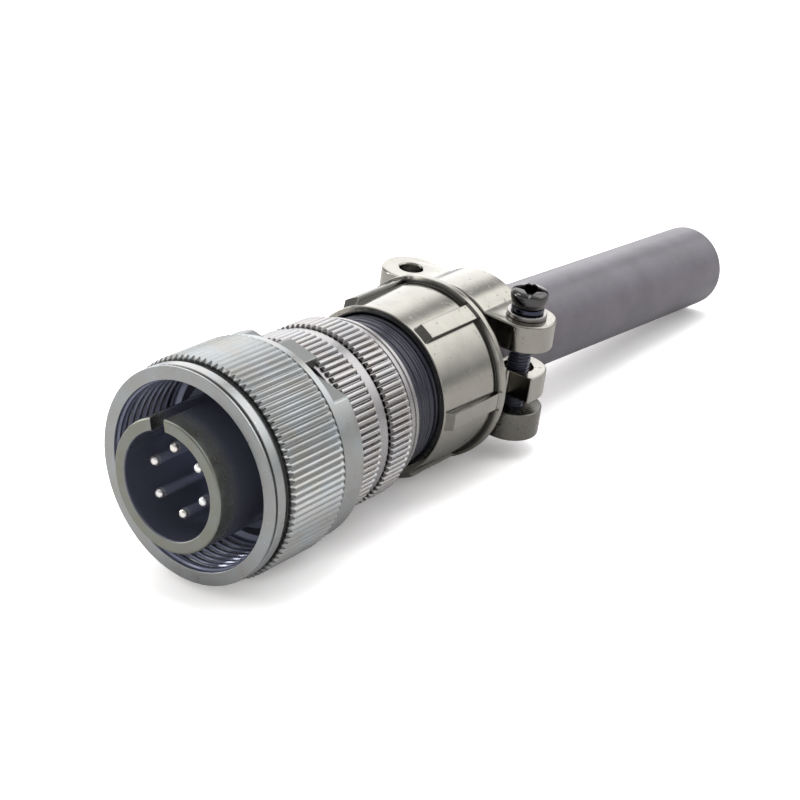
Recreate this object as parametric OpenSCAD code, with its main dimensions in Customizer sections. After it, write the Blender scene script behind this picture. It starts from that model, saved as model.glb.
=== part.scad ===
// Straight circular cable plug: coupling nut, two-part shell, six pin contacts,
// cable clamp with two saddles, and a rubber sleeve over the cable.
// The connector's axis is Y. The mating end faces -Y and +Z is up.
// The origin is the centre of the coupling nut's front face.
// A direction round the axis is an angle from +Z towards +X.

/* [Coupling nut] */
// Length of the coupling nut
nut_len = 20.1; // [18.5:0.1:26]
// Radius of the coupling thread's wall
coupling_r = 14.29; // [14:0.01:14.6]
// Thickness of the nut's wall between that and its plain rim
nut_wall_t = 2.5; // [1.6:0.1:3.7]
// Number of knurl teeth round the nut
nut_teeth = 96; // [48:4:120]
// Height of the knurl teeth above the rim
nut_knurl_rise = 0.5; // [0.2:0.05:0.8]
// Depth of the knurl roots below the rim
nut_knurl_depth = 0.25; // [0.1:0.05:0.4]
// Plain length in front of the knurl
nut_rim_len = 3.4; // [1.5:0.1:5]
// Plain length behind the knurl
nut_band_len = 4.4; // [4:0.1:6]
// Thickness of the web that turns on the shell
nut_web_t = 3.9; // [2:0.1:5]
// Distance from the axis to the wrench flats
flat_d = 13.6; // [13.2:0.1:15]
// Length of the wrench flats
flat_len = 3.25; // [1:0.05:3.6]
// Width of the stop lug in the middle of each flat
stop_w = 5.5; // [2:0.1:9]
// Distance from the axis to the top of the stop lug
stop_d = 16.3; // [15:0.1:16.4]
// Direction of the first wrench flat
flat_turn = 20.6; // [0:0.1:90]

/* [Front shell] */
// How far the barrel stands out of the nut
barrel_out = 4.24; // [1:0.01:6]
// Distance from the insert's face back to the step that the insert bears on
insert_step = 1.1; // [0.6:0.1:2]
// Outer radius of the barrel
barrel_r = 10.28; // [10:0.01:10.8]
// Bore radius of the barrel
barrel_bore_r = 8.3; // [7.6:0.1:8.8]
// Width of the keyway in the barrel
keyway_w = 2.7; // [1:0.1:4]
// Direction of the keyway and of the first contact
key_turn = -6.4; // [-30:0.1:30]
// Radius that the nut's web turns on
journal_r = 12; // [11.7:0.1:12.6]
// Bore radius behind the barrel
shell_bore_r = 10.45; // [10:0.05:10.6]
// Radius of the neck behind the nut
neck_r = 14.4; // [13:0.1:14.8]
// Length of the neck
neck_len = 0.8; // [0.3:0.1:3]
// Radius over the grip knurls of both shells
grip_r = 15; // [14.6:0.1:16]
// Depth of the grip knurls
grip_depth = 0.65; // [0.3:0.05:1]
// Number of teeth round each grip knurl
grip_teeth = 84; // [48:4:100]
// Length of the front shell's grip knurl
front_grip_len = 5.8; // [3:0.1:9]
// Length of the plain ring behind it
front_ring_len = 2.1; // [1:0.1:4]

/* [Inserts and contacts] */
// Distance from the nut's front face back to the insert's face
insert_face_y = 11; // [8:0.1:11.6]
// Length of the front insert behind the barrel's step
front_insert_len = 4.9; // [3.5:0.1:5.5]
// Length of the rear insert
rear_insert_len = 5.9; // [4:0.1:6.5]
// Number of contacts
contact_count = 6; // [3:1:7]
// Radius of the circle that the contacts stand on
contact_circle_r = 5.05; // [4.8:0.05:5.4]
// Radius of a contact's pin
pin_r = 0.785; // [0.5:0.005:1]
// Radius of the contact where the front insert holds it
pin_root_r = 0.9; // [0.8:0.05:1.2]
// Distance from that thicker part's front end to the insert's face
pin_root_out = 0.4; // [0.3:0.05:1.5]
// Distance from the nut's front face out to the pins' tips
pin_out = 2.05; // [0:0.05:3.5]
// Radius of the contact's collar, held between the inserts
collar_r = 1.5; // [1.3:0.05:1.8]
// Length of the contact's collar
collar_len = 5; // [3:0.1:6]
// Outer radius of the solder cup
cup_r = 1.2; // [1.1:0.05:1.3]
// Bore radius of the solder cup
cup_bore_r = 0.85; // [0.5:0.05:0.95]
// Length of the solder cup behind the rear insert
cup_out = 4; // [2:0.1:6]
// Depth of the solder cup's bore
cup_depth = 4.5; // [2:0.1:5.5]

/* [Retaining rings] */
// Thickness of the wire ring that holds the coupling nut
nut_ring_t = 0.8; // [0.5:0.05:1.2]
// Radial width of that ring
nut_ring_w = 1.75; // [1:0.05:1.9]
// Thickness of the ring that holds the inserts
insert_ring_t = 0.85; // [0.5:0.05:1.2]
// Radial width of that ring
insert_ring_w = 1.4; // [0.8:0.05:1.8]
// Depth of each ring's groove
ring_groove = 0.65; // [0.4:0.05:0.8]
// Opening of each ring, as an angle
ring_gap_angle = 24; // [8:1:60]

/* [Back shell] */
// Length of the back shell's grip knurl
back_grip_len = 5.3; // [3:0.1:9]
// Length of the narrow rim behind the knurl
back_rim_len = 0.4; // [0.2:0.1:1]
// Width of the groove behind the rim
back_groove_len = 0.6; // [0.3:0.1:1.5]
// Length of the plain ring
back_ring_len = 1.9; // [1:0.1:4]
// Radius of the plain ring
back_ring_r = 14; // [13.4:0.1:14.3]
// Depth of the groove below the plain ring
back_groove_depth = 0.6; // [0.2:0.05:0.7]
// Radius of the threads that join both shells and the clamp
rear_thread_r = 12.7; // [12.4:0.05:12.8]
// Length of the front shell's rear thread
joint_thread_len = 5.3; // [3:0.1:5.3]
// Length of the back shell's rear thread
clamp_thread_len = 10.7; // [6:0.1:16]
// Bore radius of the back shell
back_bore_r = 10.9; // [9:0.1:11.4]
// Chamfer at the end of each rear thread
thread_chamfer = 0.6; // [0.3:0.1:1]

/* [Cable clamp] */
// Length of thread that the clamp is screwed on by
clamp_on = 4.4; // [2:0.1:9]
// Length of the clamp body's ring, with its flange
clamp_len = 15.1; // [12:0.1:20]
// Outer radius of the clamp body's ring at its front face
clamp_r = 14.2; // [13.9:0.1:14.8]
// Outer radius of that ring where it meets the flange
clamp_rear_r = 14.7; // [14.2:0.1:15]
// Free length inside the clamp body behind the back shell's end
clamp_run_out = 1.5; // [0.5:0.1:3]
// Radial step from the clamp's thread in to its cavity
clamp_shoulder = 1.2; // [0.5:0.1:2]
// Radius of the rear flange
flange_r = 15.7; // [15.6:0.1:17]
// Thickness of the rear flange
flange_t = 1.7; // [1:0.1:3]
// Thickness of the rear wall, with the flange
clamp_wall_t = 2.5; // [1:0.1:5]
// Number of ribs round the clamp body
rib_count = 6; // [3:1:10]
// Radius over the ribs
rib_r = 15.3; // [15.3:0.1:16]
// Width of a rib
rib_w = 2.9; // [1.5:0.1:5]
// Distance from the clamp's front face to the ribs' ends
rib_start = 1.2; // [0.4:0.1:4]
// Turn of the whole clamp round the axis
clamp_turn = 9.5; // [-30:0.1:30]
// Distance from the flange back to the clamp screws
screw_back = 8.4; // [7:0.1:14]
// Distance from the axis to each clamp screw
screw_x = 12; // [11.6:0.1:14]
// Thickness of the arms that carry the saddles
arm_t = 4.5; // [2:0.1:6]
// Radius of an arm's round end
arm_end_r = 4.8; // [4:0.1:6]
// Width of the arm between the flange and its head
arm_w = 3.6; // [3:0.1:5.5]
// Gap between the sleeve and the inside of each arm
arm_gap = 0.6; // [0.4:0.1:1.5]
// Radius of the hole in the arm
arm_hole_r = 2.5; // [2:0.05:3.2]
// Length of the arm's squared head in front of the screw
arm_head = 3; // [2:0.1:5]

/* [Saddles] */
// Radius of a saddle's ears
ear_r = 5.05; // [4:0.05:6]
// Thickness of a saddle's ears
ear_t = 4.9; // [3:0.1:6]
// Distance from the saddle's centre to the outside of its ears
ear_out = 9.4; // [9.2:0.1:12]
// Outer radius of the saddle's arch
arch_r = 11.7; // [10.8:0.1:13.5]
// Play between a saddle's arc and the sleeve
saddle_play = 0.2; // [0.1:0.05:0.5]
// Distance that the upper saddle stands open
upper_open = 2; // [1.2:0.05:3]
// Distance that the lower saddle stands open
lower_open = 0.15; // [0.1:0.05:3]

/* [Clamp screws] */
// Radius of the screw's thread
screw_r = 1.9; // [1.25:0.05:2]
// Length of the screw under its head
screw_len = 21.6; // [19:0.1:26]
// Radius of the screw's head
screw_head_r = 3.17; // [2.4:0.01:4]
// Height of the screw's head
screw_head_h = 2.9; // [1.6:0.1:3.4]
// Depth of the cross recess
recess_depth = 1.3; // [0.5:0.1:1.5]
// Width of the cross recess's slots
recess_w = 1.15; // [0.4:0.05:1.3]
// Length across the cross recess
recess_len = 4.1; // [2:0.1:4.4]
// Turn of the cross recess
recess_turn = 30; // [0:1:89]
// Outer radius of the spring washer
spring_r = 2.75; // [2.4:0.05:3.1]
// Thickness of the spring washer
spring_t = 1; // [0.5:0.05:1.4]
// Width of the cut through the spring washer
spring_cut = 0.4; // [0.2:0.05:0.8]
// Outer radius of the flat washer
washer_r = 3.35; // [2.8:0.05:4.2]
// Thickness of the flat washer
washer_t = 0.8; // [0.4:0.05:1.2]

/* [Rubber sleeve] */
// Outer radius of the sleeve
sleeve_r = 7.9; // [6.5:0.05:8]
// Bore radius of the sleeve
sleeve_bore_r = 5.55; // [4:0.05:6]
// Length of the sleeve's straight front part
sleeve_front_len = 27; // [25:0.5:40]
// Length of the sleeve's straight rear part
sleeve_rear_len = 70.5; // [20:0.5:90]
// Angle by which the sleeve hangs down
sleeve_droop = 3.2; // [1:0.1:10]
// Step at the bend, where the rear run's wall is a touch thinner inside and out
sleeve_step = 0.04; // [0.03:0.01:0.1]

/* [Clearances] */
// Radial play of a running fit
run_play = 0.07; // [0.03:0.01:0.1]
// Play of a fixed fit, on the radius
fixed_play = 0.08; // [0.04:0.01:0.15]
// Gap between faces that are screwed up to each other
face_gap = 0.2; // [0.1:0.05:0.4]
// Radial play of a screw in a clear hole
hole_play = 0.25; // [0.15:0.05:0.4]
// Gap between a washer and what it bears on
washer_gap = 0.05; // [0.02:0.01:0.1]

/* [Hidden] */
$fn = 96;
eps = 0.01;

metal_colour = [0.62, 0.60, 0.55];
bright_colour = [0.80, 0.79, 0.76];
dark_metal_colour = [0.30, 0.30, 0.31];
insert_colour = [0.07, 0.08, 0.12];
sleeve_colour = [0.47, 0.45, 0.47];

// Stations along the axis, from the nut's front face backwards
nut_knurl_end = nut_len - nut_band_len;
nut_web_y = nut_len - nut_web_t;
nut_ring_y = nut_web_y - face_gap - nut_ring_t;
step_y = insert_face_y + insert_step;
insert_joint_y = step_y + front_insert_len + face_gap / 2;
insert_end_y = insert_joint_y + rear_insert_len;
insert_ring_y = insert_end_y + 2 * washer_gap;
neck_y = nut_len + face_gap;
front_grip_y = neck_y + neck_len;
front_ring_y = front_grip_y + front_grip_len;
shell_end_y = front_ring_y + front_ring_len;
joint_end_y = shell_end_y + joint_thread_len;
back_y = shell_end_y + face_gap;
back_rim_y = back_y + back_grip_len;
back_groove_y = back_rim_y + back_rim_len;
back_ring_y = back_groove_y + back_groove_len;
back_thread_y = back_ring_y + back_ring_len;
back_end_y = back_thread_y + clamp_thread_len;
clamp_y = back_end_y - clamp_on;
flange_y = clamp_y + clamp_len - flange_t;
clamp_end_y = clamp_y + clamp_len;
screw_y = clamp_end_y + screw_back;
sleeve_y = back_end_y + 2 * face_gap;
bend_y = sleeve_y + sleeve_front_len;

// Sizes that follow from their neighbours
barrel_chamfer = 0.35;
small_chamfer = 0.3;
edge_break = 0.2;
deep_chamfer = 0.4;
sink = 0.05;
nut_r = coupling_r + nut_wall_t;
knurl_run_out = 1;
entry_len = 0.9;
entry_chamfer = 0.33;
entry_r = coupling_r + entry_chamfer;
ring_room = 0.45;
chamber_r = journal_r - ring_groove + nut_ring_w + ring_room;
chamber_slope = 0.5;
chamber_lead = 3;
chamber_y = nut_ring_y - chamber_lead;
keyway_short = 1;
journal_lead = 0.5;
keyway_len = insert_face_y - keyway_short + barrel_out;
grip_root_r = grip_r - grip_depth;
ring_rise = 0.15;
front_ring_r = grip_root_r + ring_rise;
joint_bore_r = rear_thread_r + fixed_play;
joint_bore_len = joint_end_y - back_y + face_gap;
insert_r = shell_bore_r - fixed_play;
boss_r = barrel_bore_r - fixed_play;
collar_y = insert_joint_y - collar_len / 2;
pin_root_y = insert_face_y - pin_root_out;
pin_hole_r = pin_root_r + fixed_play / 2;
collar_hole_r = collar_r + fixed_play / 2;
cup_hole_r = cup_r + fixed_play / 2;
cup_end_y = insert_end_y + cup_out;
nose_share = 0.75;
cup_open_share = 0.6;
cup_lip_share = 0.4;
cavity_y = back_end_y + clamp_run_out;
cavity_r = rear_thread_r - clamp_shoulder;
sleeve_hole_r = sleeve_r + 2 * saddle_play;
arm_in_x = sleeve_r + arm_gap;
arch_bore_r = sleeve_r + saddle_play;
clear_hole_r = screw_r + hole_play;
tapped_hole_r = screw_r + run_play;
spring_z = washer_t + 2 * washer_gap;
head_z = spring_z + spring_t + washer_gap;
spring_slant = 35;

// Ends of a knurl's root and of its crest, in shares of one tooth
tooth_shares = [-0.09, 0.09, 0.34, 0.66];
bevel_share = 0.6;

// Outline of the pan head, in shares of its radius and of its height
head_profile = [
    [0, 0], [0.92, 0], [1, 0.24], [1, 0.62], [0.94, 0.82], [0.8, 0.95], [0.55, 1], [0, 1]
];

// Turns a part drawn along +Z so that it lies along +Y
module along_y(y = 0) {
    translate([0, y, 0]) rotate([-90, 0, 0]) children();
}

// Solid of revolution round the connector's axis; points are [radius, y]
module turned(points) {
    along_y() rotate_extrude() polygon(points);
}

// Straight-knurled disc: teeth with narrow flat crests and narrow flat roots
module knurled(crest_r, root_r, teeth, y0, y1) {
    pitch = 360 / teeth;
    along_y(y0)
        linear_extrude(y1 - y0)
            polygon([
                for (i = [0 : teeth - 1], k = [0 : 3])
                    let (
                        r = k < 2 ? root_r : crest_r,
                        a = (i + tooth_shares[k]) * pitch
                    )
                    [r * cos(a), r * sin(a)]
            ]);
}

// Knurled length whose tooth ends are bevelled down to the root at both ends
module grip(crest_r, root_r, teeth, y0, y1) {
    bevel = (crest_r - root_r) * bevel_share;
    intersection() {
        knurled(crest_r, root_r, teeth, y0, y1);
        turned([
            [0, y0], [crest_r - bevel, y0], [crest_r + eps, y0 + bevel],
            [crest_r + eps, y1 - bevel], [crest_r - bevel, y1], [0, y1]
        ]);
    }
}

// Places a child drawn at the top of the axis in the given direction round it
module round_axis(angle) {
    rotate([0, angle, 0]) children();
}

// Open ring in a groove: a flat ring with a gap at the top
module open_ring(inner_r, outer_r, y0, y1) {
    difference() {
        turned([[inner_r, y0], [outer_r, y0], [outer_r, y1], [inner_r, y1]]);
        gap = 2 * outer_r * sin(ring_gap_angle / 2);
        translate([-gap / 2, y0 - 1, 0]) cube([gap, y1 - y0 + 2, outer_r + 1]);
    }
}

// One wrench flat with its stop lug, as the space that is cut away
module wrench_flat() {
    side_w = nut_r * 2;
    for (side = [-1, 1])
        translate([side * (stop_w + side_w) / 2, nut_len - flat_len / 2 + eps, flat_d + nut_r / 2])
            cube([side_w, flat_len + 2 * eps, nut_r], center = true);
    translate([0, nut_len - flat_len / 2 + eps, stop_d + nut_r / 2])
        cube([stop_w + 1, flat_len + 2 * eps, nut_r], center = true);
}

module coupling_nut() {
    root_r = nut_r - nut_knurl_depth;
    slope_y = nut_knurl_end + edge_break;
    color(metal_colour)
    difference() {
        union() {
            turned([
                [journal_r, 0], [nut_r - small_chamfer, 0], [nut_r, small_chamfer],
                [nut_r, nut_rim_len], [root_r - sink, nut_rim_len],
                [root_r - sink, nut_knurl_end], [nut_r, nut_knurl_end],
                [nut_r, nut_len - small_chamfer], [nut_r - small_chamfer, nut_len],
                [journal_r, nut_len]
            ]);
            intersection() {
                knurled(nut_r + nut_knurl_rise, root_r, nut_teeth, nut_rim_len, slope_y);
                turned([
                    [journal_r, nut_rim_len], [nut_r + knurl_run_out, nut_rim_len],
                    [nut_r + knurl_run_out, slope_y - knurl_run_out - edge_break],
                    [nut_r - edge_break, slope_y], [journal_r, slope_y]
                ]);
            }
        }
        turned([
            [0, -1], [entry_r, -1], [entry_r, entry_len - entry_chamfer], [coupling_r, entry_len],
            [coupling_r, chamber_y], [chamber_r, chamber_y + chamber_slope], [chamber_r, nut_web_y],
            [journal_r + run_play, nut_web_y], [journal_r + run_play, nut_len + 1],
            [0, nut_len + 1]
        ]);
        for (turn = [0, 180])
            round_axis(flat_turn + turn) wrench_flat();
    }
}

module nut_retaining_ring() {
    inner_r = journal_r - ring_groove + fixed_play;
    color(dark_metal_colour)
        open_ring(inner_r, inner_r + nut_ring_w, nut_ring_y, nut_ring_y + nut_ring_t);
}

module front_shell() {
    groove_r = journal_r - ring_groove;
    shoulder_y = step_y - journal_lead;
    color(metal_colour)
    difference() {
        union() {
            turned([
                [0, -barrel_out], [barrel_r - barrel_chamfer, -barrel_out],
                [barrel_r, barrel_chamfer - barrel_out], [barrel_r, shoulder_y],
                [journal_r - small_chamfer, shoulder_y], [journal_r, shoulder_y + small_chamfer],
                [journal_r, nut_ring_y - washer_gap], [groove_r, nut_ring_y - washer_gap],
                [groove_r, nut_ring_y + nut_ring_t + washer_gap],
                [journal_r, nut_ring_y + nut_ring_t + washer_gap],
                [journal_r, neck_y], [neck_r - edge_break, neck_y], [neck_r, neck_y + edge_break],
                [neck_r, front_grip_y], [grip_root_r - sink, front_grip_y],
                [grip_root_r - sink, front_ring_y], [front_ring_r, front_ring_y],
                [front_ring_r, shell_end_y - deep_chamfer],
                [front_ring_r - deep_chamfer, shell_end_y],
                [rear_thread_r, shell_end_y], [rear_thread_r, joint_end_y - thread_chamfer],
                [rear_thread_r - thread_chamfer, joint_end_y], [0, joint_end_y]
            ]);
            grip(grip_r, grip_root_r, grip_teeth, front_grip_y, front_ring_y);
        }
        ring_y0 = insert_ring_y - washer_gap;
        ring_y1 = insert_ring_y + insert_ring_t + washer_gap;
        turned([
            [0, -barrel_out - 1], [barrel_bore_r + barrel_chamfer, -barrel_out - 1],
            [barrel_bore_r + barrel_chamfer, -barrel_out],
            [barrel_bore_r, barrel_chamfer - barrel_out], [barrel_bore_r, step_y],
            [shell_bore_r, step_y], [shell_bore_r, ring_y0],
            [shell_bore_r + ring_groove, ring_y0], [shell_bore_r + ring_groove, ring_y1],
            [shell_bore_r, ring_y1], [shell_bore_r, joint_end_y + 1], [0, joint_end_y + 1]
        ]);
        round_axis(key_turn)
            translate([-keyway_w / 2, -barrel_out - 1, 0])
                cube([keyway_w, keyway_len + 1, barrel_r + 1]);
    }
}

// Places a child drawn on the axis on every contact's own axis
module at_contacts() {
    for (i = [0 : contact_count - 1])
        round_axis(key_turn + i * 360 / contact_count)
            translate([0, 0, contact_circle_r]) children();
}

module front_insert() {
    back_y = step_y + front_insert_len;
    color(insert_colour)
    difference() {
        turned([
            [0, insert_face_y], [boss_r - small_chamfer, insert_face_y],
            [boss_r, insert_face_y + small_chamfer],
            [boss_r, step_y + fixed_play], [insert_r, step_y + fixed_play],
            [insert_r, back_y], [0, back_y]
        ]);
        at_contacts() {
            along_y(insert_face_y - 1) cylinder(r = pin_hole_r, h = collar_y - insert_face_y + 2);
            along_y(collar_y - washer_gap) cylinder(r = collar_hole_r, h = collar_len);
        }
    }
}

module rear_insert() {
    color(insert_colour)
    difference() {
        turned([
            [0, insert_joint_y], [insert_r, insert_joint_y],
            [insert_r, insert_end_y], [0, insert_end_y]
        ]);
        at_contacts() {
            along_y(collar_y) cylinder(r = collar_hole_r, h = collar_len + washer_gap);
            along_y(collar_y) cylinder(r = cup_hole_r, h = insert_end_y - collar_y + 1);
        }
    }
}

module insert_retaining_ring() {
    outer_r = shell_bore_r + ring_groove - fixed_play;
    color(dark_metal_colour)
        open_ring(outer_r - insert_ring_w, outer_r, insert_ring_y, insert_ring_y + insert_ring_t);
}

// One contact: round-nosed pin, collar and a solder cup with its open side
module contact(index) {
    nose = pin_r * nose_share;
    color(bright_colour)
    round_axis(key_turn + index * 360 / contact_count)
    translate([0, 0, contact_circle_r])
    difference() {
        union() {
            turned([
                [0, -pin_out], [pin_r - nose, -pin_out],
                for (a = [0 : 15 : 90])
                    [pin_r - nose + nose * sin(a), nose - pin_out - nose * cos(a)],
                [pin_r, pin_root_y], [pin_root_r, pin_root_y],
                [pin_root_r, collar_y], [collar_r, collar_y], [collar_r, collar_y + collar_len],
                [cup_r, collar_y + collar_len], [cup_r, cup_end_y], [0, cup_end_y]
            ]);
        }
        along_y(cup_end_y - cup_depth) cylinder(r = cup_bore_r, h = cup_depth + 1, $fn = 32);
        translate([-cup_r - 1, cup_end_y - cup_depth * cup_open_share, cup_bore_r * cup_lip_share])
            cube([2 * cup_r + 2, cup_depth, cup_r + 1]);
    }
}

module back_shell() {
    groove_r = back_ring_r - back_groove_depth;
    color(metal_colour)
    difference() {
        union() {
            turned([
                [0, back_y], [grip_root_r - sink, back_y], [grip_root_r - sink, back_rim_y],
                [grip_root_r, back_rim_y], [grip_root_r, back_groove_y],
                [groove_r, back_groove_y], [groove_r, back_ring_y],
                [back_ring_r - edge_break, back_ring_y], [back_ring_r, back_ring_y + edge_break],
                [back_ring_r, back_thread_y - edge_break],
                [back_ring_r - edge_break, back_thread_y],
                [rear_thread_r, back_thread_y], [rear_thread_r, back_end_y - thread_chamfer],
                [rear_thread_r - thread_chamfer, back_end_y], [0, back_end_y]
            ]);
            grip(grip_r, grip_root_r, grip_teeth, back_y, back_rim_y);
        }
        turned([
            [0, back_y - 1], [joint_bore_r + deep_chamfer, back_y - 1],
            [joint_bore_r + deep_chamfer, back_y],
            [joint_bore_r, back_y + deep_chamfer], [joint_bore_r, back_y + joint_bore_len],
            [back_bore_r, back_y + joint_bore_len], [back_bore_r, back_end_y - deep_chamfer],
            [back_bore_r + deep_chamfer, back_end_y], [back_bore_r + deep_chamfer, back_end_y + 1],
            [0, back_end_y + 1]
        ]);
    }
}

// One rib along the clamp body, with a sloping front end
module rib() {
    rise = rib_r - clamp_r;
    y0 = clamp_y + rib_start;
    translate([rib_w / 2, 0, 0]) rotate([0, -90, 0])
        linear_extrude(rib_w)
            polygon([
                [clamp_r - 1, y0], [clamp_r, y0], [rib_r, y0 + rise],
                [rib_r, flange_y + deep_chamfer], [clamp_r - 1, flange_y + deep_chamfer]
            ]);
}

// Plan of one arm: a stem from the flange, a squared head and a round end
module arm_plan() {
    head_x = screw_x + arm_end_r;
    difference() {
        union() {
            translate([arm_in_x, flange_y + deep_chamfer])
                square([arm_w, screw_y - flange_y - deep_chamfer]);
            translate([arm_in_x, screw_y - arm_head])
                square([head_x - arm_in_x, arm_head]);
            translate([screw_x, screw_y]) circle(r = arm_end_r);
        }
        translate([0, flange_y]) square([arm_in_x, screw_back + 3 * arm_end_r]);
    }
}

module clamp_body() {
    color(metal_colour)
    round_axis(clamp_turn)
    difference() {
        union() {
            turned([
                [0, clamp_y], [clamp_r - small_chamfer, clamp_y], [clamp_r, clamp_y + small_chamfer],
                [clamp_rear_r, flange_y], [flange_r - edge_break, flange_y],
                [flange_r, flange_y + edge_break], [flange_r, clamp_end_y - deep_chamfer],
                [flange_r - deep_chamfer, clamp_end_y], [0, clamp_end_y]
            ]);
            for (i = [0 : rib_count - 1])
                round_axis((i + 0.5) * 360 / rib_count) rib();
            for (side = [0, 1])
                mirror([side, 0, 0])
                    translate([0, 0, -arm_t / 2]) linear_extrude(arm_t) arm_plan();
        }
        turned([
            [0, clamp_y - 1], [joint_bore_r + deep_chamfer, clamp_y - 1],
            [joint_bore_r + deep_chamfer, clamp_y],
            [joint_bore_r, clamp_y + deep_chamfer], [joint_bore_r, cavity_y],
            [cavity_r, cavity_y], [cavity_r, clamp_end_y - clamp_wall_t],
            [sleeve_hole_r, clamp_end_y - clamp_wall_t], [sleeve_hole_r, clamp_end_y + 1],
            [0, clamp_end_y + 1]
        ]);
        for (side = [-1, 1])
            translate([side * screw_x, screw_y, -arm_t / 2 - 1])
                cylinder(r = arm_hole_r, h = arm_t + 2);
    }
}

// A saddle in its own place: arch over the sleeve, clear hole at +X, tapped hole at -X
module saddle() {
    difference() {
        union() {
            translate([-screw_x, screw_y - ear_r, ear_out - ear_t])
                cube([2 * screw_x, 2 * ear_r, ear_t]);
            for (side = [-1, 1])
                translate([side * screw_x, screw_y, ear_out - ear_t]) cylinder(r = ear_r, h = ear_t);
            intersection() {
                along_y(screw_y - ear_r) cylinder(r = arch_r, h = 2 * ear_r);
                translate([-screw_x, screw_y - ear_r - 1, ear_out - ear_t])
                    cube([2 * screw_x, 2 * ear_r + 2, arch_r]);
            }
        }
        along_y(screw_y - ear_r - 1) cylinder(r = arch_bore_r, h = 2 * ear_r + 2);
        translate([screw_x, screw_y, 0]) cylinder(r = clear_hole_r, h = 2 * arch_r);
        translate([-screw_x, screw_y, 0]) cylinder(r = tapped_hole_r, h = 2 * arch_r);
    }
}

// Places a child that belongs above the sleeve, or turned over to below it
module upper_side() {
    round_axis(clamp_turn) translate([0, 0, upper_open]) children();
}

module lower_side() {
    round_axis(clamp_turn + 180) translate([0, 0, lower_open]) children();
}

module upper_saddle() {
    color(metal_colour) upper_side() saddle();
}

module lower_saddle() {
    color(metal_colour) lower_side() saddle();
}

// Pan-head screw standing on the clear ear, with a cross recess
module clamp_screw() {
    translate([screw_x, screw_y, ear_out + head_z])
    difference() {
        union() {
            rotate_extrude()
                polygon([
                    for (p = head_profile)
                        [screw_head_r * p[0], screw_head_h * p[1]]
                ]);
            translate([0, 0, -screw_len])
                rotate_extrude()
                    polygon([
                        [0, 0], [screw_r - deep_chamfer, 0], [screw_r, deep_chamfer],
                        [screw_r, screw_len], [0, screw_len]
                    ]);
        }
        for (turn = [0, 90])
            rotate([0, 0, turn + recess_turn])
                translate([-recess_len / 2, -recess_w / 2, screw_head_h - recess_depth])
                    cube([recess_len, recess_w, recess_depth + 1]);
    }
}

module right_screw() {
    color(dark_metal_colour) upper_side() clamp_screw();
}

module left_screw() {
    color(dark_metal_colour) lower_side() clamp_screw();
}

// Spring washer: a thick open ring with a slanting cut
module spring_washer() {
    translate([screw_x, screw_y, ear_out + spring_z])
    difference() {
        cylinder(r = spring_r, h = spring_t);
        translate([0, 0, -1]) cylinder(r = clear_hole_r, h = spring_t + 2);
        translate([0, 0, spring_t / 2]) rotate([spring_slant, 0, 0])
            translate([0, -spring_cut / 2, -2 * spring_t])
                cube([2 * spring_r, spring_cut, 4 * spring_t]);
    }
}

module right_spring_washer() {
    color(dark_metal_colour) upper_side() spring_washer();
}

module left_spring_washer() {
    color(dark_metal_colour) lower_side() spring_washer();
}

module flat_washer() {
    translate([screw_x, screw_y, ear_out + washer_gap])
    difference() {
        cylinder(r = washer_r, h = washer_t);
        translate([0, 0, -1]) cylinder(r = clear_hole_r, h = washer_t + 2);
    }
}

module right_flat_washer() {
    color(dark_metal_colour) upper_side() flat_washer();
}

module left_flat_washer() {
    color(dark_metal_colour) lower_side() flat_washer();
}

// Both straight runs of the sleeve, mitred where the rear run starts to hang down
module sleeve_line(front_r, rear_r, extra) {
    front_len = sleeve_front_len + extra;
    rear_len = sleeve_rear_len + extra;
    block = 4 * sleeve_r;
    translate([0, bend_y, 0]) {
        intersection() {
            along_y(-front_len) cylinder(r = front_r, h = front_len + block);
            rotate([-sleeve_droop / 2, 0, 0])
                translate([-block / 2, -front_len - block, -block / 2])
                    cube([block, front_len + block, block]);
        }
        intersection() {
            rotate([-sleeve_droop, 0, 0]) along_y(-block) cylinder(r = rear_r, h = rear_len + block);
            rotate([-sleeve_droop / 2, 0, 0])
                translate([-block / 2, 0, -block - rear_len / 4])
                    cube([block, rear_len + block, 2 * block]);
        }
    }
}

module rubber_sleeve() {
    color(sleeve_colour)
    difference() {
        sleeve_line(sleeve_r, sleeve_r - sleeve_step, 0);
        sleeve_line(sleeve_bore_r + sleeve_step, sleeve_bore_r, 1);
    }
}

coupling_nut();
nut_retaining_ring();
front_shell();
front_insert();
rear_insert();
insert_retaining_ring();
contact(0);  // contact_pin_a
contact(1);  // contact_pin_b
contact(2);  // contact_pin_c
contact(3);  // contact_pin_d
contact(4);  // contact_pin_e
contact(5);  // contact_pin_f
back_shell();
clamp_body();
upper_saddle();
lower_saddle();
right_screw();
left_screw();
right_spring_washer();
left_spring_washer();
right_flat_washer();
left_flat_washer();
rubber_sleeve();
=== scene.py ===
"""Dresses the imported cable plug: fine metal pieces, rubber sleeve, finishes and a studio."""

import math
from itertools import zip_longest

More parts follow.
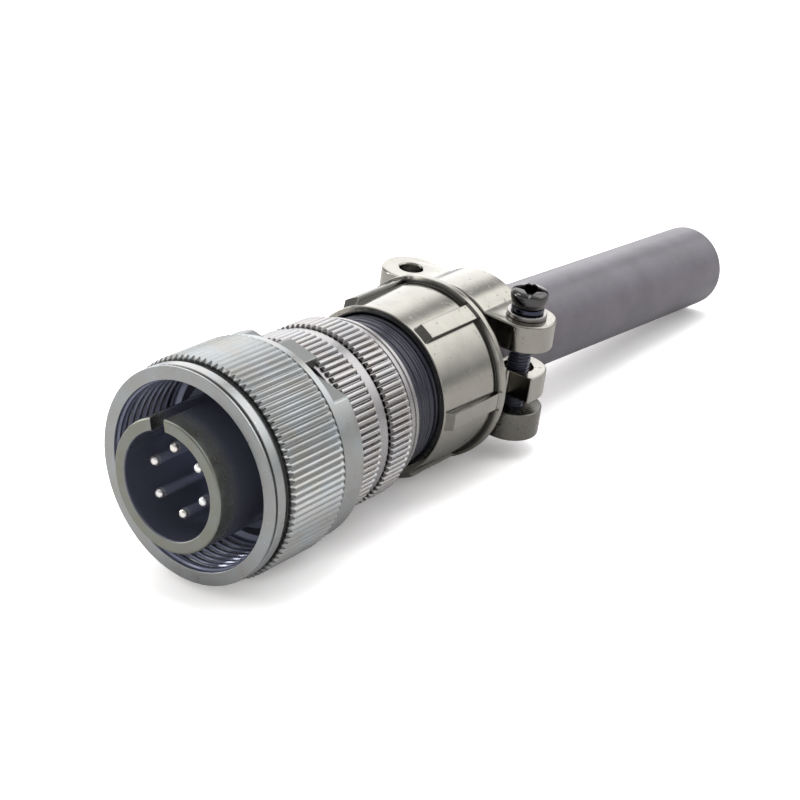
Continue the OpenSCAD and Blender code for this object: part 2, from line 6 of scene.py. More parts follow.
import bmesh
import bpy
import numpy as np
from bpy.props import FloatProperty, FloatVectorProperty, IntProperty, PointerProperty
from mathutils import Matrix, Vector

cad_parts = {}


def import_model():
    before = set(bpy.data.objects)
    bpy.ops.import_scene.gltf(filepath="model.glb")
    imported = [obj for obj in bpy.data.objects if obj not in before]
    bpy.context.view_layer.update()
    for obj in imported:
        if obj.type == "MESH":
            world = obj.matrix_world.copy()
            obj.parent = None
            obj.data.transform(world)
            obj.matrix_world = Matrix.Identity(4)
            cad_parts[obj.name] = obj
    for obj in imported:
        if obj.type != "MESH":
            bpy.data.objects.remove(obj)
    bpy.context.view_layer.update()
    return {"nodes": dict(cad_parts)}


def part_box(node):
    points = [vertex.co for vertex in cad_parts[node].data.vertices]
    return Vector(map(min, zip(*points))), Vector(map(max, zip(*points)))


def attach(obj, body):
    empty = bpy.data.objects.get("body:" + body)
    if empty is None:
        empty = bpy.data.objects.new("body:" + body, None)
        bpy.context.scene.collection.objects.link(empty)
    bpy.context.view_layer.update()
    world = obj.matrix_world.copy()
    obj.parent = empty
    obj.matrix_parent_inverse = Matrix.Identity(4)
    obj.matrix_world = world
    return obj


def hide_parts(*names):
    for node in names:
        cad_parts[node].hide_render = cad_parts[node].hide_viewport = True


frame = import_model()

bl_info = {
    "name": "Cable Plug Dresser",
    "version": (1, 0, 0),
    "blender": (4, 5, 0),
    "location": "3D View > Sidebar > Cable Plug",
    "description": "Models and finishes a circular cable plug round its packed solids",
    "category": "Object",
}

MM = 0.001

# Stations along the axis and radii of the turned pieces, in millimetres
NUT_LEN = round(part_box("coupling_nut")[1].y / MM, 3)
NUT_R, NUT_ROOT_R, NUT_CREST_R, NECK_R = 16.79, 16.54, 17.29, 16.3
NUT_KNURL_Y = (3.4, NUT_LEN - 4.4)
NUT_WEB_Y, NUT_CHAMBER_Y, NUT_CHAMBER_R = NUT_LEN - 3.9, 12.2, 13.55
COUPLING_R, COUPLING_Y, MOUTH_R, JOURNAL_R = 14.29, 0.9, 14.62, 12.0
BARREL_R, BARREL_BORE_R, BARREL_FRONT_Y = 10.28, 8.3, -4.24
SHELL_BORE_R, RING_GROOVE_R, COLLAR_Y, STEP_Y = 10.45, 11.1, 20.3, 29.0
GRIP_R, GRIP_ROOT_R, GRIP_FLOOR_R = 15.0, 14.35, 14.3
FRONT_GRIP_Y, BACK_GRIP_Y = (21.1, 26.9), (29.2, 34.5)
REAR_THREAD_R, THREAD_BORE_R, JOINT_END_Y = 12.7, 12.78, 34.3
BACK_RING_R, BACK_BORE_R, BACK_THREAD_Y, BACK_END_Y = 14.0, 10.9, 37.4, 48.1
CLAMP_Y, FLANGE_Y, CLAMP_END_Y = 43.7, 57.1, 58.8
CLAMP_R, CLAMP_REAR_R, FLANGE_R, CLAMP_BORE_R, CABLE_HOLE_R = 14.2, 14.7, 15.7, 11.5, 8.3
SLEEVE_R, SLEEVE_BORE_R, SLEEVE_Y, BEND_Y, SLEEVE_REAR_LEN = 7.88, 5.57, 48.5, 75.5, 70.5

# Wrench flats of the nut and the stop lugs on them, and the keyway of the barrel
FLAT_D, FLAT_LEN, STOP_W, STOP_D, FLAT_TURN = 13.6, 3.25, 5.5, 16.3, 20.6
KEYWAY_W, KEYWAY_END_Y, KEY_TURN = 2.7, 10.0, -6.4

# Ribs of the clamp: their number, radius, width, the start of the ramp behind the clamp's
# front and the ramp's length
RIB_COUNT, RIB_R, RIB_W, RIB_START, RIB_SLOPE = 6, 15.3, 2.9, 0.35, 1.1

# Arms, screws and washers. Screws and washers are drawn for a closed saddle and moved out by
# as much as theirs stands open.
CLAMP_TURN, UPPER_OPEN, LOWER_OPEN = 9.5, 2.0, 0.15
SCREW_X, SCREW_Y, EAR_OUT, ARM_END_R, ARM_HOLE_R, ARM_HALF = 12.0, 67.2, 9.4, 4.8, 2.5, 2.25
SCREW_R, SCREW_LEN, HEAD_R, HEAD_H = 1.9, 21.6, 3.17, 2.9
HEAD_Z, SPRING_Z, WASHER_Z = EAR_OUT + 1.95, EAR_OUT + 0.9, EAR_OUT + 0.05
WASHER_BORE_R, SPRING_R, WASHER_R = 2.16, 2.75, 3.35

# Depths of the threads, droop of the sleeve in degrees and half the length of its bend
COUPLING_DEPTH, REAR_DEPTH, SCREW_DEPTH = 0.45, 0.24, 0.28
DROOP, BEND_HALF = 3.2, 7.0

# Points round a piece, and the angle above which an edge stays sharp
ROUND, FINE_ROUND = 200, 240
SHARP = math.radians(38)


# ---------------------------------------------------------------- settings

class PlugSizes(bpy.types.PropertyGroup):
    """Fine shapes that the plain solids leave out."""

    nut_teeth: IntProperty(
        name="Nut teeth", description="Knurl teeth round the coupling nut", default=96, min=24)
    grip_teeth: IntProperty(
        name="Grip teeth", description="Knurl teeth round each shell grip", default=84, min=24)
    coupling_pitch: FloatProperty(
        name="Coupling pitch", description="Pitch of the nut's inner thread",
        default=1.411 * MM, unit="LENGTH", precision=5)
    rear_pitch: FloatProperty(
        name="Rear pitch", description="Pitch of the back shell's thread",
        default=1.27 * MM, unit="LENGTH", precision=5)
    screw_pitch: FloatProperty(
        name="Screw pitch", description="Pitch of the clamp screws",
        default=0.6 * MM, unit="LENGTH", precision=5)
    cast_round: FloatProperty(
        name="Cast edge", description="Rounding of the saddles' cast edges",
        default=0.4 * MM, unit="LENGTH", precision=5)


class PlugColours(bpy.types.PropertyGroup):
    """Base colours of the finishes."""

    nut: FloatVectorProperty(
        name="Nut", description="Satin plating of the coupling nut", subtype="COLOR",
        default=(0.335, 0.34, 0.335))
    shell: FloatVectorProperty(
        name="Shell", description="Plating of both shells' grips", subtype="COLOR",
        default=(0.39, 0.377, 0.374))
    barrel: FloatVectorProperty(
        name="Barrel", description="Olive plating of the barrel's rim", subtype="COLOR",
        default=(0.225, 0.23, 0.2))
    clamp: FloatVectorProperty(
        name="Clamp", description="Bright cast metal of the clamp", subtype="COLOR",
        default=(0.315, 0.305, 0.27))
    dark: FloatVectorProperty(
        name="Dark metal", description="Screws and washers", subtype="COLOR",
        default=(0.095, 0.09, 0.088))
    # deep is a navy that is painted shade in the nut's bore, on the barrel inside the nut, on the
    # middle of each screw shank and on the pins' shafts, and the dark finish of the back shell's
    # thread and of the spring washers
    deep: FloatVectorProperty(
        name="Deep metal", description="Glossy navy of the threads and bores", subtype="COLOR",
        default=(0.085, 0.09, 0.125))
    contact: FloatVectorProperty(
        name="Contacts", description="Plating of the pins", subtype="COLOR",
        default=(0.93, 0.91, 0.88))
    insert: FloatVectorProperty(
        name="Insert", description="Moulded plastic of the inserts", subtype="COLOR",
        default=(0.17, 0.19, 0.27))
    sleeve: FloatVectorProperty(
        name="Sleeve", description="Rubber of the sleeve", subtype="COLOR",
        default=(0.122, 0.113, 0.129))


class PlugStage(bpy.types.PropertyGroup):
    """Camera and floor."""

    azimuth: FloatProperty(
        name="Azimuth", description="Direction of the camera round the plug",
        default=math.radians(37.46), subtype="ANGLE")
    elevation: FloatProperty(
        name="Elevation", description="Height of the camera as an angle",
        default=math.radians(20.84), subtype="ANGLE")
    roll: FloatProperty(
        name="Roll", description="Turn of the camera about its own line of sight",
        default=math.radians(-0.51), subtype="ANGLE")
    distance: FloatProperty(
        name="Distance", description="Distance from the camera to its target",
        default=0.36783, subtype="DISTANCE")
    target: FloatVectorProperty(
        name="Target", description="Point that the camera looks at",
        default=(-0.03154, 0.09186, -0.02343), subtype="TRANSLATION")
    lens: FloatProperty(name="Lens", description="Focal length in millimetres", default=85.5)


# ---------------------------------------------------------------- shapes

def rounded(rows, steps=4):
    """Closed outline of [across, along, fillet] rows. Each corner is the quadratic curve
    (1-t)^2 A + 2t(1-t) P + t^2 B between points a fillet away along both edges, with a
    further point just outside A and B so that the flats beside it shade flat."""
    rows = np.asarray(rows, float)
    corner, size = rows[:, :2], rows[:, 2:]
    ends = []
    for neighbour in (np.roll(corner, 1, 0), np.roll(corner, -1, 0)):
        edge = neighbour - corner
        length = np.linalg.norm(edge, axis=1, keepdims=True)
        cut = np.minimum(np.maximum(size, 0.01), 0.42 * length)
        hold = np.minimum(cut + 0.04, 0.47 * length)
        ends.append((corner + edge / length * cut, corner + edge / length * hold))
    (start, hold_in), (end, hold_out) = ends
    t = np.linspace(0, 1, steps + 1)[None, :, None]
    curve = ((1 - t) ** 2 * start[:, None] + 2 * t * (1 - t) * corner[:, None]
             + t ** 2 * end[:, None])
    return np.concatenate([hold_in[:, None], curve, hold_out[:, None]], 1).reshape(-1, 2)


def finer(outline, keep, step):
    """Closed outline with extra points every step of its length where keep(across, along)."""
    loop = np.vstack([outline, outline[:1]])
    run = np.concatenate([[0], np.cumsum(np.hypot(*np.diff(loop, axis=0).T))])
    fine = np.arange(0, run[-1], step)
    fine = fine[keep(np.interp(fine, run, loop[:, 0]), np.interp(fine, run, loop[:, 1]))]
    at = np.unique(np.concatenate([run[:-1], fine]))
    return np.stack([np.interp(at, run, loop[:, 0]), np.interp(at, run, loop[:, 1])], 1)


def quads(rows, columns, rows_close=True, columns_close=True):
    """Corner numbers of the faces of a grid of points, in row order."""
    i, j = np.meshgrid(
        np.arange(rows if rows_close else rows - 1),
        np.arange(columns if columns_close else columns - 1), indexing="ij")
    k, m = (i + 1) % rows, (j + 1) % columns
    corners = np.stack([i * columns + j, k * columns + j, k * columns + m, i * columns + m], -1)
    return corners.reshape(-1, 4)


def round_axis(across, angles, along):
    """Points at a radius, a direction from +Z towards +X and a station on the Y axis."""
    across, angles, along = np.broadcast_arrays(across, angles, along)
    return np.stack([across * np.sin(angles), along, across * np.cos(angles)], -1)


def full_turn(count, *extra):
    """Directions round the axis: an even set, and further ones where an edge needs them."""
    even = np.linspace(0, 2 * math.pi, count, endpoint=False)
    if not extra:
        return even
    return np.unique(np.round(np.mod(np.concatenate([even, *extra]), 2 * math.pi), 6))


def turned(outline, angles, change=None):
    """Ring: a closed [radius, y] outline carried round the axis. change(radius, direction, y)
    gives the radius that a point really has."""
    r, a, y = outline[None, :, 0], angles[:, None], outline[None, :, 1]
    r = np.broadcast_to(r, (len(angles), len(outline)))
    if change is not None:
        r = change(r, a, y)
    return round_axis(r, a, y), quads(len(angles), len(outline)), []


def open_turn(outline, start, end, count):
    """Part of a ring between two directions that may differ for each point of the outline,
    with both ends closed by a flat face. start and end are arrays as long as the outline."""
    share = np.linspace(0, 1, count)[:, None]
    a = start[None] + (end - start)[None] * share
    points = round_axis(outline[None, :, 0], a, outline[None, :, 1])
    size = len(outline)
    caps = [list(range(size))[::-1], [(count - 1) * size + j for j in range(size)]]
    return points, quads(count, size, rows_close=False), caps


def thread_groove(a, y, pitch, left=0.0, right=0.0):
    """Share of a thread's depth at a direction and station: the distance to the middle of the
    turn, |frac(y / pitch - a / 2 pi) - 1/2|, made into a trapezoid and faded at both ends."""
    phase = np.mod(y / pitch - a / (2 * math.pi), 1.0)
    wave = np.clip((np.abs(phase - 0.5) * 2 - 0.18) / 0.64, 0, 1)
    wave = wave * wave * (3 - 2 * wave)
    return wave * np.clip((y - left) / pitch, 0, 1) * np.clip((right - y) / pitch, 0, 1)


def knurl_ring(teeth, root_r, crest_r, inner_r, stations, caps, section):
    """Toothed ring and the painted shade marks of its points. section holds [place in a tooth's
    pitch, share of its height] rows; the radius is root + height x share, never above the cap
    given for each station. A mark is 1, painted shade, where the front bevel, at the first three
    stations, cuts a tooth."""
    place, share = np.asarray(section, float).T
    angles = (np.arange(teeth)[:, None] + place[None]).reshape(-1) * (2 * math.pi / teeth)
    height = np.tile(root_r + (crest_r - root_r) * share, teeth)[:, None]
    stations, caps = np.asarray(stations, float), np.asarray(caps, float)[None]
    outer = np.minimum(height, caps)
    r = np.pad(outer, ((0, 0), (1, 1)), constant_values=inner_r)
    y = np.pad(stations, 1, mode="edge")
    cut = (outer > caps - 0.004) & (np.arange(len(stations)) < 3)
    marks = np.pad(cut.astype(float), ((0, 0), (1, 1))).ravel()
    return (round_axis(r, angles[:, None], y[None]), quads(len(angles), len(y)), []), marks


def reach(centre, outline, angles):
    """Distance from a point to a closed outline in each direction: the nearest crossing of
    the ray with the outline's edges, from the two-line intersection formula."""
    a = outline - centre
    b = np.roll(outline, -1, 0) - centre
    edge = b - a
    ray = np.stack([np.cos(angles), np.sin(angles)], 1)
    cross = ray[:, None, 0] * edge[None, :, 1] - ray[:, None, 1] * edge[None, :, 0]
    slack, tiny = 1e-6, 1e-12
    safe = np.where(np.abs(cross) < tiny, tiny, cross)
    far = (a[:, 0] * edge[:, 1] - a[:, 1] * edge[:, 0])[None] / safe
    share = (a[None, :, 0] * ray[:, None, 1] - a[None, :, 1] * ray[:, None, 0]) / safe
    hit = (far > 0) & (share >= -slack) & (share <= 1 + slack) & (np.abs(cross) > tiny)
    return np.where(hit, far, np.inf).min(1)


def holed_plate(centre, outline, hole_r, z0, z1, fillet, count=120):
    """Plate round a hole: for each direction from the hole's centre one closed cross-section
    from the hole's wall out to the outline, its four corners rounded. It is drawn wide apart,
    so that a point's inset from the nearer end can be told, and then moved in."""
    corner_angles = np.arctan2(*(outline - centre).T[::-1])
    angles = full_turn(count, corner_angles)
    wide = 1000.0
    section = rounded([[0, z0, fillet], [wide, z0, fillet], [wide, z1, fillet],
                       [0, z1, fillet]], 3)
    outer = section[:, 0] > wide / 2
    inset = np.where(outer, wide - section[:, 0], section[:, 0])
    inset = np.minimum(inset, 0.3 + fillet)
    far = reach(centre, outline, angles)[:, None]
    dist = np.where(outer[None], far - inset[None], hole_r + inset[None])
    x = centre[0] + dist * np.cos(angles)[:, None]
    y = centre[1] + dist * np.sin(angles)[:, None]
    z = np.broadcast_to(section[None, :, 1], x.shape)
    return np.stack([x, y, z], -1), quads(len(angles), len(section)), []


def turn_about_axis(points, degrees):
    """Points turned round the Y axis, from +Z towards +X."""
    a = math.radians(degrees)
    x, y, z = np.moveaxis(np.asarray(points, float), -1, 0)
    return np.stack([x * math.cos(a) + z * math.sin(a), y, z * math.cos(a) - x * math.sin(a)], -1)


def on_side(points, upper):
    """Points drawn above the sleeve, moved out to the open saddle's place and turned."""
    lift = UPPER_OPEN if upper else LOWER_OPEN
    moved = np.asarray(points, float) + np.array([0, 0, lift])
    return turn_about_axis(moved, CLAMP_TURN + (0 if upper else 180))


def placed(part, move):
    """Part with its points moved by a function."""
    points, faces, caps = part
    return move(points), faces, caps


def make_piece(name, parts, material, body, nodes=(), corners=()):
    """Joins closed parts, each (points, faces, caps) in millimetres, into one smooth mesh that
    stands for CAD nodes and rides on their body. corners holds, part by part, how much painted
    shade each point takes in a corner or recess, from 0 to 1, or None; it is stored as the corner
    attribute."""
    points, faces, base = [], [], 0
    for part_points, part_faces, caps in parts:
        flat = part_points.reshape(-1, 3)
        points.append(flat)
        faces += (part_faces + base).tolist()
        faces += [[c + base for c in cap] for cap in caps]
        base += len(flat)
    mesh = bpy.data.meshes.new(name)
    mesh.from_pydata((np.concatenate(points) * MM).tolist(), [], faces)
    # The corner attribute carries, point by point, the painted shade that the finish lays into
    # corners and recesses
    if corners:
        marks = [np.zeros(len(flat)) if mark is None else mark
                 for flat, mark in zip_longest(points, corners)]
        corner = mesh.attributes.new("corner", "FLOAT", "POINT")
        corner.data.foreach_set("value", np.concatenate(marks))
    work = bmesh.new()
    work.from_mesh(mesh)
    bmesh.ops.remove_doubles(work, verts=work.verts, dist=1e-7)
    bmesh.ops.recalc_face_normals(work, faces=work.faces)
    work.to_mesh(mesh)
    work.free()
    return finish_piece(name, mesh, material, body, nodes)


def finish_piece(name, mesh, material, body, nodes):
    """Object for a mesh, shaded smooth up to the sharp angle, with its body and slot."""
    mesh.polygons.foreach_set("use_smooth", np.ones(len(mesh.polygons), bool))
    mesh.set_sharp_from_angle(angle=SHARP)
    set_finish(mesh, material)
    piece = bpy.data.objects.new(name, mesh)
    bpy.context.scene.collection.objects.link(piece)
    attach(piece, body)
    if nodes:
        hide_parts(*nodes)
    return piece


def set_finish(mesh, material):
    """Gives a mesh one finish and no other."""
    mesh.materials.clear()
    mesh.materials.append(bpy.data.materials[material])


def softened_copy(node, name, material, body, width):
    """Merged copy of a CAD node with its flat faces joined and its edges bevelled."""
    work = bmesh.new()
    work.from_mesh(frame["nodes"][node].data)
    bmesh.ops.remove_doubles(work, verts=work.verts, dist=2e-6)
    bmesh.ops.dissolve_limit(
        work, angle_limit=math.radians(0.5), verts=work.verts, edges=work.edges)
    mesh = bpy.data.meshes.new(name)
    work.to_mesh(mesh)
    work.free()
    piece = finish_piece(name, mesh, material, body, [node])
    bevel = piece.modifiers.new("Cast edge", "BEVEL")
    bevel.limit_method, bevel.angle_limit = "ANGLE", math.radians(35)
    bevel.width, bevel.segments, bevel.harden_normals = width, 3, True
    bevel.use_clamp_overlap = True
    return piece


# ---------------------------------------------------------------- finishes

def feed(tree, socket, value):
    """Links an output to an input, or gives the input a plain value."""
    if isinstance(value, bpy.types.NodeSocket):
        tree.links.new(value, socket)
    else:
        socket.default_value = value


def put(tree, kind, inputs=None, **settings):
    """Adds a shader node; inputs are values or sockets by name or number."""
    node = tree.nodes.new(kind)
    for key, value in settings.items():
        setattr(node, key, value)
    for key, value in (inputs or {}).items():
        feed(tree, node.inputs[key], value)
    return node


def calc(tree, operation, *values):
    """Result of a maths node."""
    return put(tree, "ShaderNodeMath", dict(enumerate(values)), operation=operation).outputs[0]


def plus(tree, one, other):
    """Sum of two values."""
    return calc(tree, "ADD", one, other)


def less(tree, one, other):
    """First value less the second."""
    return calc(tree, "SUBTRACT", one, other)


def times(tree, one, other):
    """Product of two values."""
    return calc(tree, "MULTIPLY", one, other)


def ranged(tree, value, start, end, low=0.0, high=1.0, kind="LINEAR"):
    """Value carried from the range start to end onto low to high, and held at both."""
    inputs = dict(enumerate((value, start, end, low, high)))
    return put(tree, "ShaderNodeMapRange", inputs, interpolation_type=kind).outputs[0]


def eased(tree, value, start, end, low=0.0, high=1.0):
    """The same with a smooth start and end."""
    return ranged(tree, value, start, end, low, high, "SMOOTHSTEP")


def object_place(tree):
    """Place in the piece's own frame."""
    return put(tree, "ShaderNodeTexCoord").outputs["Object"]


def axis_place(tree):
    """Distance from the Y axis, the root of x^2 + z^2, and the station along it."""
    axes = put(tree, "ShaderNodeSeparateXYZ", {0: object_place(tree)}).outputs
    squares = [times(tree, axes[k], axes[k]) for k in "XZ"]
    return calc(tree, "SQRT", plus(tree, *squares)), axes["Y"]


def noise(tree, place, scale, detail, roughness):
    """Cloudy value at a place."""
    return put(tree, "ShaderNodeTexNoise", {"Vector": place, "Scale": scale, "Detail": detail,
                                            "Roughness": roughness}).outputs[0]


def new_group(name, inputs, outputs):
    """Empty shader group with float inputs of the given defaults and float outputs."""
    tree = bpy.data.node_groups.new(name, "ShaderNodeTree")
    for label, default in inputs.items():
        socket = tree.interface.new_socket(label, in_out="INPUT", socket_type="NodeSocketFloat")
        socket.default_value = default
    for label in outputs:
        tree.interface.new_socket(label, in_out="OUTPUT", socket_type="NodeSocketFloat")
    return tree, put(tree, "NodeGroupInput").outputs, put(tree, "NodeGroupOutput").inputs


def build_groups():
    """Uneven finish, turning marks, cast dents, place mask and speckle."""
    tree, given, out = new_group(
        "Uneven finish", {"Scale": 300.0, "Low": 0.3, "High": 0.5}, ["Value"])
    wander = noise(tree, object_place(tree), given["Scale"], 5.0, 0.6)
    feed(tree, out["Value"], ranged(tree, wander, 0.32, 0.68, given["Low"], given["High"]))

    tree, given, out = new_group("Turning marks", {"Lines": 9000.0, "Depth": 1.0}, ["Height"])
    run = times(tree, plus(tree, *axis_place(tree)), given["Lines"])
    lines = put(tree, "ShaderNodeTexNoise", {"W": run, "Scale": 1.0, "Detail": 2.0},
                noise_dimensions="1D")
    feed(tree, out["Height"], times(tree, lines.outputs[0], given["Depth"]))

    tree, given, out = new_group(
        "Cast dents", {"Scale": 260.0, "Sparse": 0.66, "Depth": 1.0}, ["Height", "Mask"])
    lumps = noise(tree, object_place(tree), given["Scale"], 2.5, 0.55)
    mask = eased(tree, lumps, given["Sparse"], plus(tree, given["Sparse"], 0.08))
    feed(tree, out["Height"], times(tree, times(tree, mask, given["Depth"]), -1.0))
    feed(tree, out["Mask"], mask)

    tree, given, out = new_group(
        "Place mask", {"Near": 0.01, "Far": 0.02, "Front": 0.0, "Back": 0.01},
        ["Outward", "Along"])
    across, along = axis_place(tree)
    feed(tree, out["Outward"], eased(tree, across, given["Near"], given["Far"]))
    feed(tree, out["Along"], eased(tree, along, given["Front"], given["Back"]))

    tree, given, out = new_group("Speckle", {"Scale": 700.0, "Size": 0.16}, ["Mask"])
    cells = put(tree, "ShaderNodeTexVoronoi",
                {"Vector": object_place(tree), "Scale": given["Scale"]}).outputs
    near = calc(tree, "LESS_THAN", cells["Distance"], given["Size"])
    draw = put(tree, "ShaderNodeSeparateColor", {0: cells["Color"]}).outputs[0]
    feed(tree, out["Mask"], times(tree, near, calc(tree, "GREATER_THAN", draw, 0.86)))


def group(tree, name, **inputs):
    """Outputs of a group that is placed with its own values."""
    return put(tree, "ShaderNodeGroup", inputs, node_tree=bpy.data.node_groups[name]).outputs


def uneven(tree, scale, low=0.0, high=1.0):
    """Value that wanders between two over the surface."""
    return group(tree, "Uneven finish", Scale=scale, Low=low, High=high)["Value"]


def place_mask(tree, near, far, front, back):
    """Masks that rise outwards and along the axis, between places in millimetres."""
    return group(tree, "Place mask", Near=near * MM, Far=far * MM, Front=front * MM,
                 Back=back * MM)


def blend(tree, factor, low, high):
    """Colour between two, by a factor that changes over the surface."""
    low, high = (end if isinstance(end, bpy.types.NodeSocket) else (*end, 1.0)
                 for end in (low, high))
    return put(tree, "ShaderNodeMix", {"Factor": factor, 6: low, 7: high},
               data_type="RGBA").outputs[2]


def shade(colour, by):
    """Colour made darker or brighter, none of its parts above 1."""
    return tuple(min(c * by, 1.0) for c in colour)


def painted_corner_shade(tree, paint, colour):
    """Colour darkened, as painted shade, where the mesh's corner attribute rises."""
    corner = put(tree, "ShaderNodeAttribute", attribute_name="corner").outputs["Fac"]
    return blend(tree, corner, paint, colour)


def new_finish(name, metallic, colour, roughness):
    """Material with one Principled BSDF; returns its tree and that shader's inputs."""
    material = bpy.data.materials.new(name)
    material.use_nodes = True
    tree = material.node_tree
    shader = tree.nodes["Principled BSDF"].inputs
    shader["Metallic"].default_value = metallic
    shader["Base Color"].default_value = (*colour, 1.0)
    shader["Roughness"].default_value = roughness
    return tree, shader


def complete(tree, shader, paint, gloss, height, strength, distance):
    """Feeds a finish's colour, roughness and bump to its shader."""
    relief = put(tree, "ShaderNodeBump",
                 {"Height": height, "Strength": strength, "Distance": distance})
    feed(tree, shader["Base Color"], paint)
    feed(tree, shader["Roughness"], gloss)
    feed(tree, shader["Normal"], relief.outputs[0])


def turned_metal(name, colour, rough, lines=9000.0, depth=0.5, tooth=None, deep=None,
                 speckle=0.0):
    """Machined and plated metal: turning marks, uneven gloss, fine specks and patches that turn
    from warm to cool. tooth, given as (near, far, by, front), darkens the roots of teeth inside
    the radii near to far and behind the station front, as painted shade. Where the mesh's corner
    attribute rises the colour takes painted shade as well. deep gives bores and threads a navy of
    their own: painted shade in the bores and where parts lie inside or between others, and the
    dark finish of the back shell's thread."""
    tree, shader = new_finish(name, 1.0, colour, sum(rough) / 2)
    warm = tuple(c * t for c, t in zip(colour, (0.94, 0.91, 0.86)))
    cool = tuple(c * t for c, t in zip(colour, (1.0, 1.05, 1.1)))
    paint = blend(tree, uneven(tree, 260.0), warm, cool)
    # Painted shade in the roots of the teeth and in the neck
    if tooth:
        near, far, by, front = tooth
        place = place_mask(tree, near, far, front, front + 0.15)
        root = times(tree, place["Along"], less(tree, 1.0, place["Outward"]))
        paint = blend(tree, root, paint, shade(colour, by))
    # Painted shade where the corner attribute marks a corner, recess or tooth end
    paint = painted_corner_shade(tree, paint, shade(colour, 0.3))
    if speckle:
        specks = group(tree, "Speckle", Scale=1500.0, Size=speckle)["Mask"]
        paint = blend(tree, specks, paint, shade(colour, 1.7))
    gloss = uneven(tree, 520.0, *rough)
    # Navy over bores and threads: mostly painted shade, on the back shell's thread its dark finish
    if deep:
        mask, navy, smooth = deep(tree)
        paint = blend(tree, mask, navy, paint)
        feed(tree, shader["Metallic"], ranged(tree, mask, 0.0, 1.0, 0.35, 1.0))
        gloss = plus(tree, smooth, times(tree, mask, less(tree, gloss, smooth)))
    marks = group(tree, "Turning marks", Lines=lines, Depth=depth)["Height"]
    grain = uneven(tree, 2600.0, high=0.3)
    complete(tree, shader, paint, gloss, plus(tree, marks, grain), 0.3, 0.02 * MM)


def cast_metal(name, colour, rough, dents=0.64):
    """Die-cast, polished and plated metal: faint waves, sparse dents that are also painted darker
    as painted shade, soft stains, and painted shade in the corners that the mesh marks with its
    corner attribute."""
    tree, shader = new_finish(name, 1.0, colour, sum(rough) / 2)
    paint = blend(tree, uneven(tree, 180.0), shade(colour, 0.9), shade(colour, 1.06))
    pits = group(tree, "Cast dents", Scale=1100.0, Sparse=dents, Depth=1.0)
    # Painted shade in the dents
    paint = blend(tree, times(tree, pits["Mask"], 0.5), paint, shade(colour, 0.5))
    # Painted shade in the corners that the corner attribute marks
    paint = painted_corner_shade(tree, paint, shade(colour, 0.2))
    wave = times(tree, uneven(tree, 330.0, high=0.4), 0.6)
    complete(tree, shader, paint, uneven(tree, 420.0, *rough), plus(tree, wave, pits["Height"]),
             0.4, 0.05 * MM)


def moulded_plastic(name, colour, rough):
    """Moulded plastic: faint stains, uneven gloss and a fine grain."""
    tree, shader = new_finish(name, 0.0, colour, sum(rough) / 2)
    paint = blend(tree, uneven(tree, 240.0), shade(colour, 0.8), shade(colour, 1.25))
    complete(tree, shader, paint, uneven(tree, 900.0, *rough), uneven(tree, 3200.0),
             0.3, 0.02 * MM)


def sleeve_rubber(name, colour):
    """Matt rubber: soft streaks along the sleeve, powdery patches and a fine grain."""
    tree, shader = new_finish(name, 0.0, colour, 0.55)
    shader["Specular IOR Level"].default_value = 0.3
    stretch = put(tree, "ShaderNodeMapping",
                  {"Vector": object_place(tree), "Scale": (330.0, 16.0, 330.0)})
    streaks = noise(tree, stretch.outputs[0], 1.0, 4.0, 0.6)
    mixed = times(tree, plus(tree, streaks, uneven(tree, 150.0)), 0.5)
    paint = blend(tree, mixed, shade(colour, 0.74), shade(colour, 1.28))
    gloss = ranged(tree, streaks, 0.3, 0.7, 0.3, 0.45)
    grain = uneven(tree, 2200.0, high=0.5)
    complete(tree, shader, paint, gloss, plus(tree, streaks, grain), 0.35, 0.05 * MM)


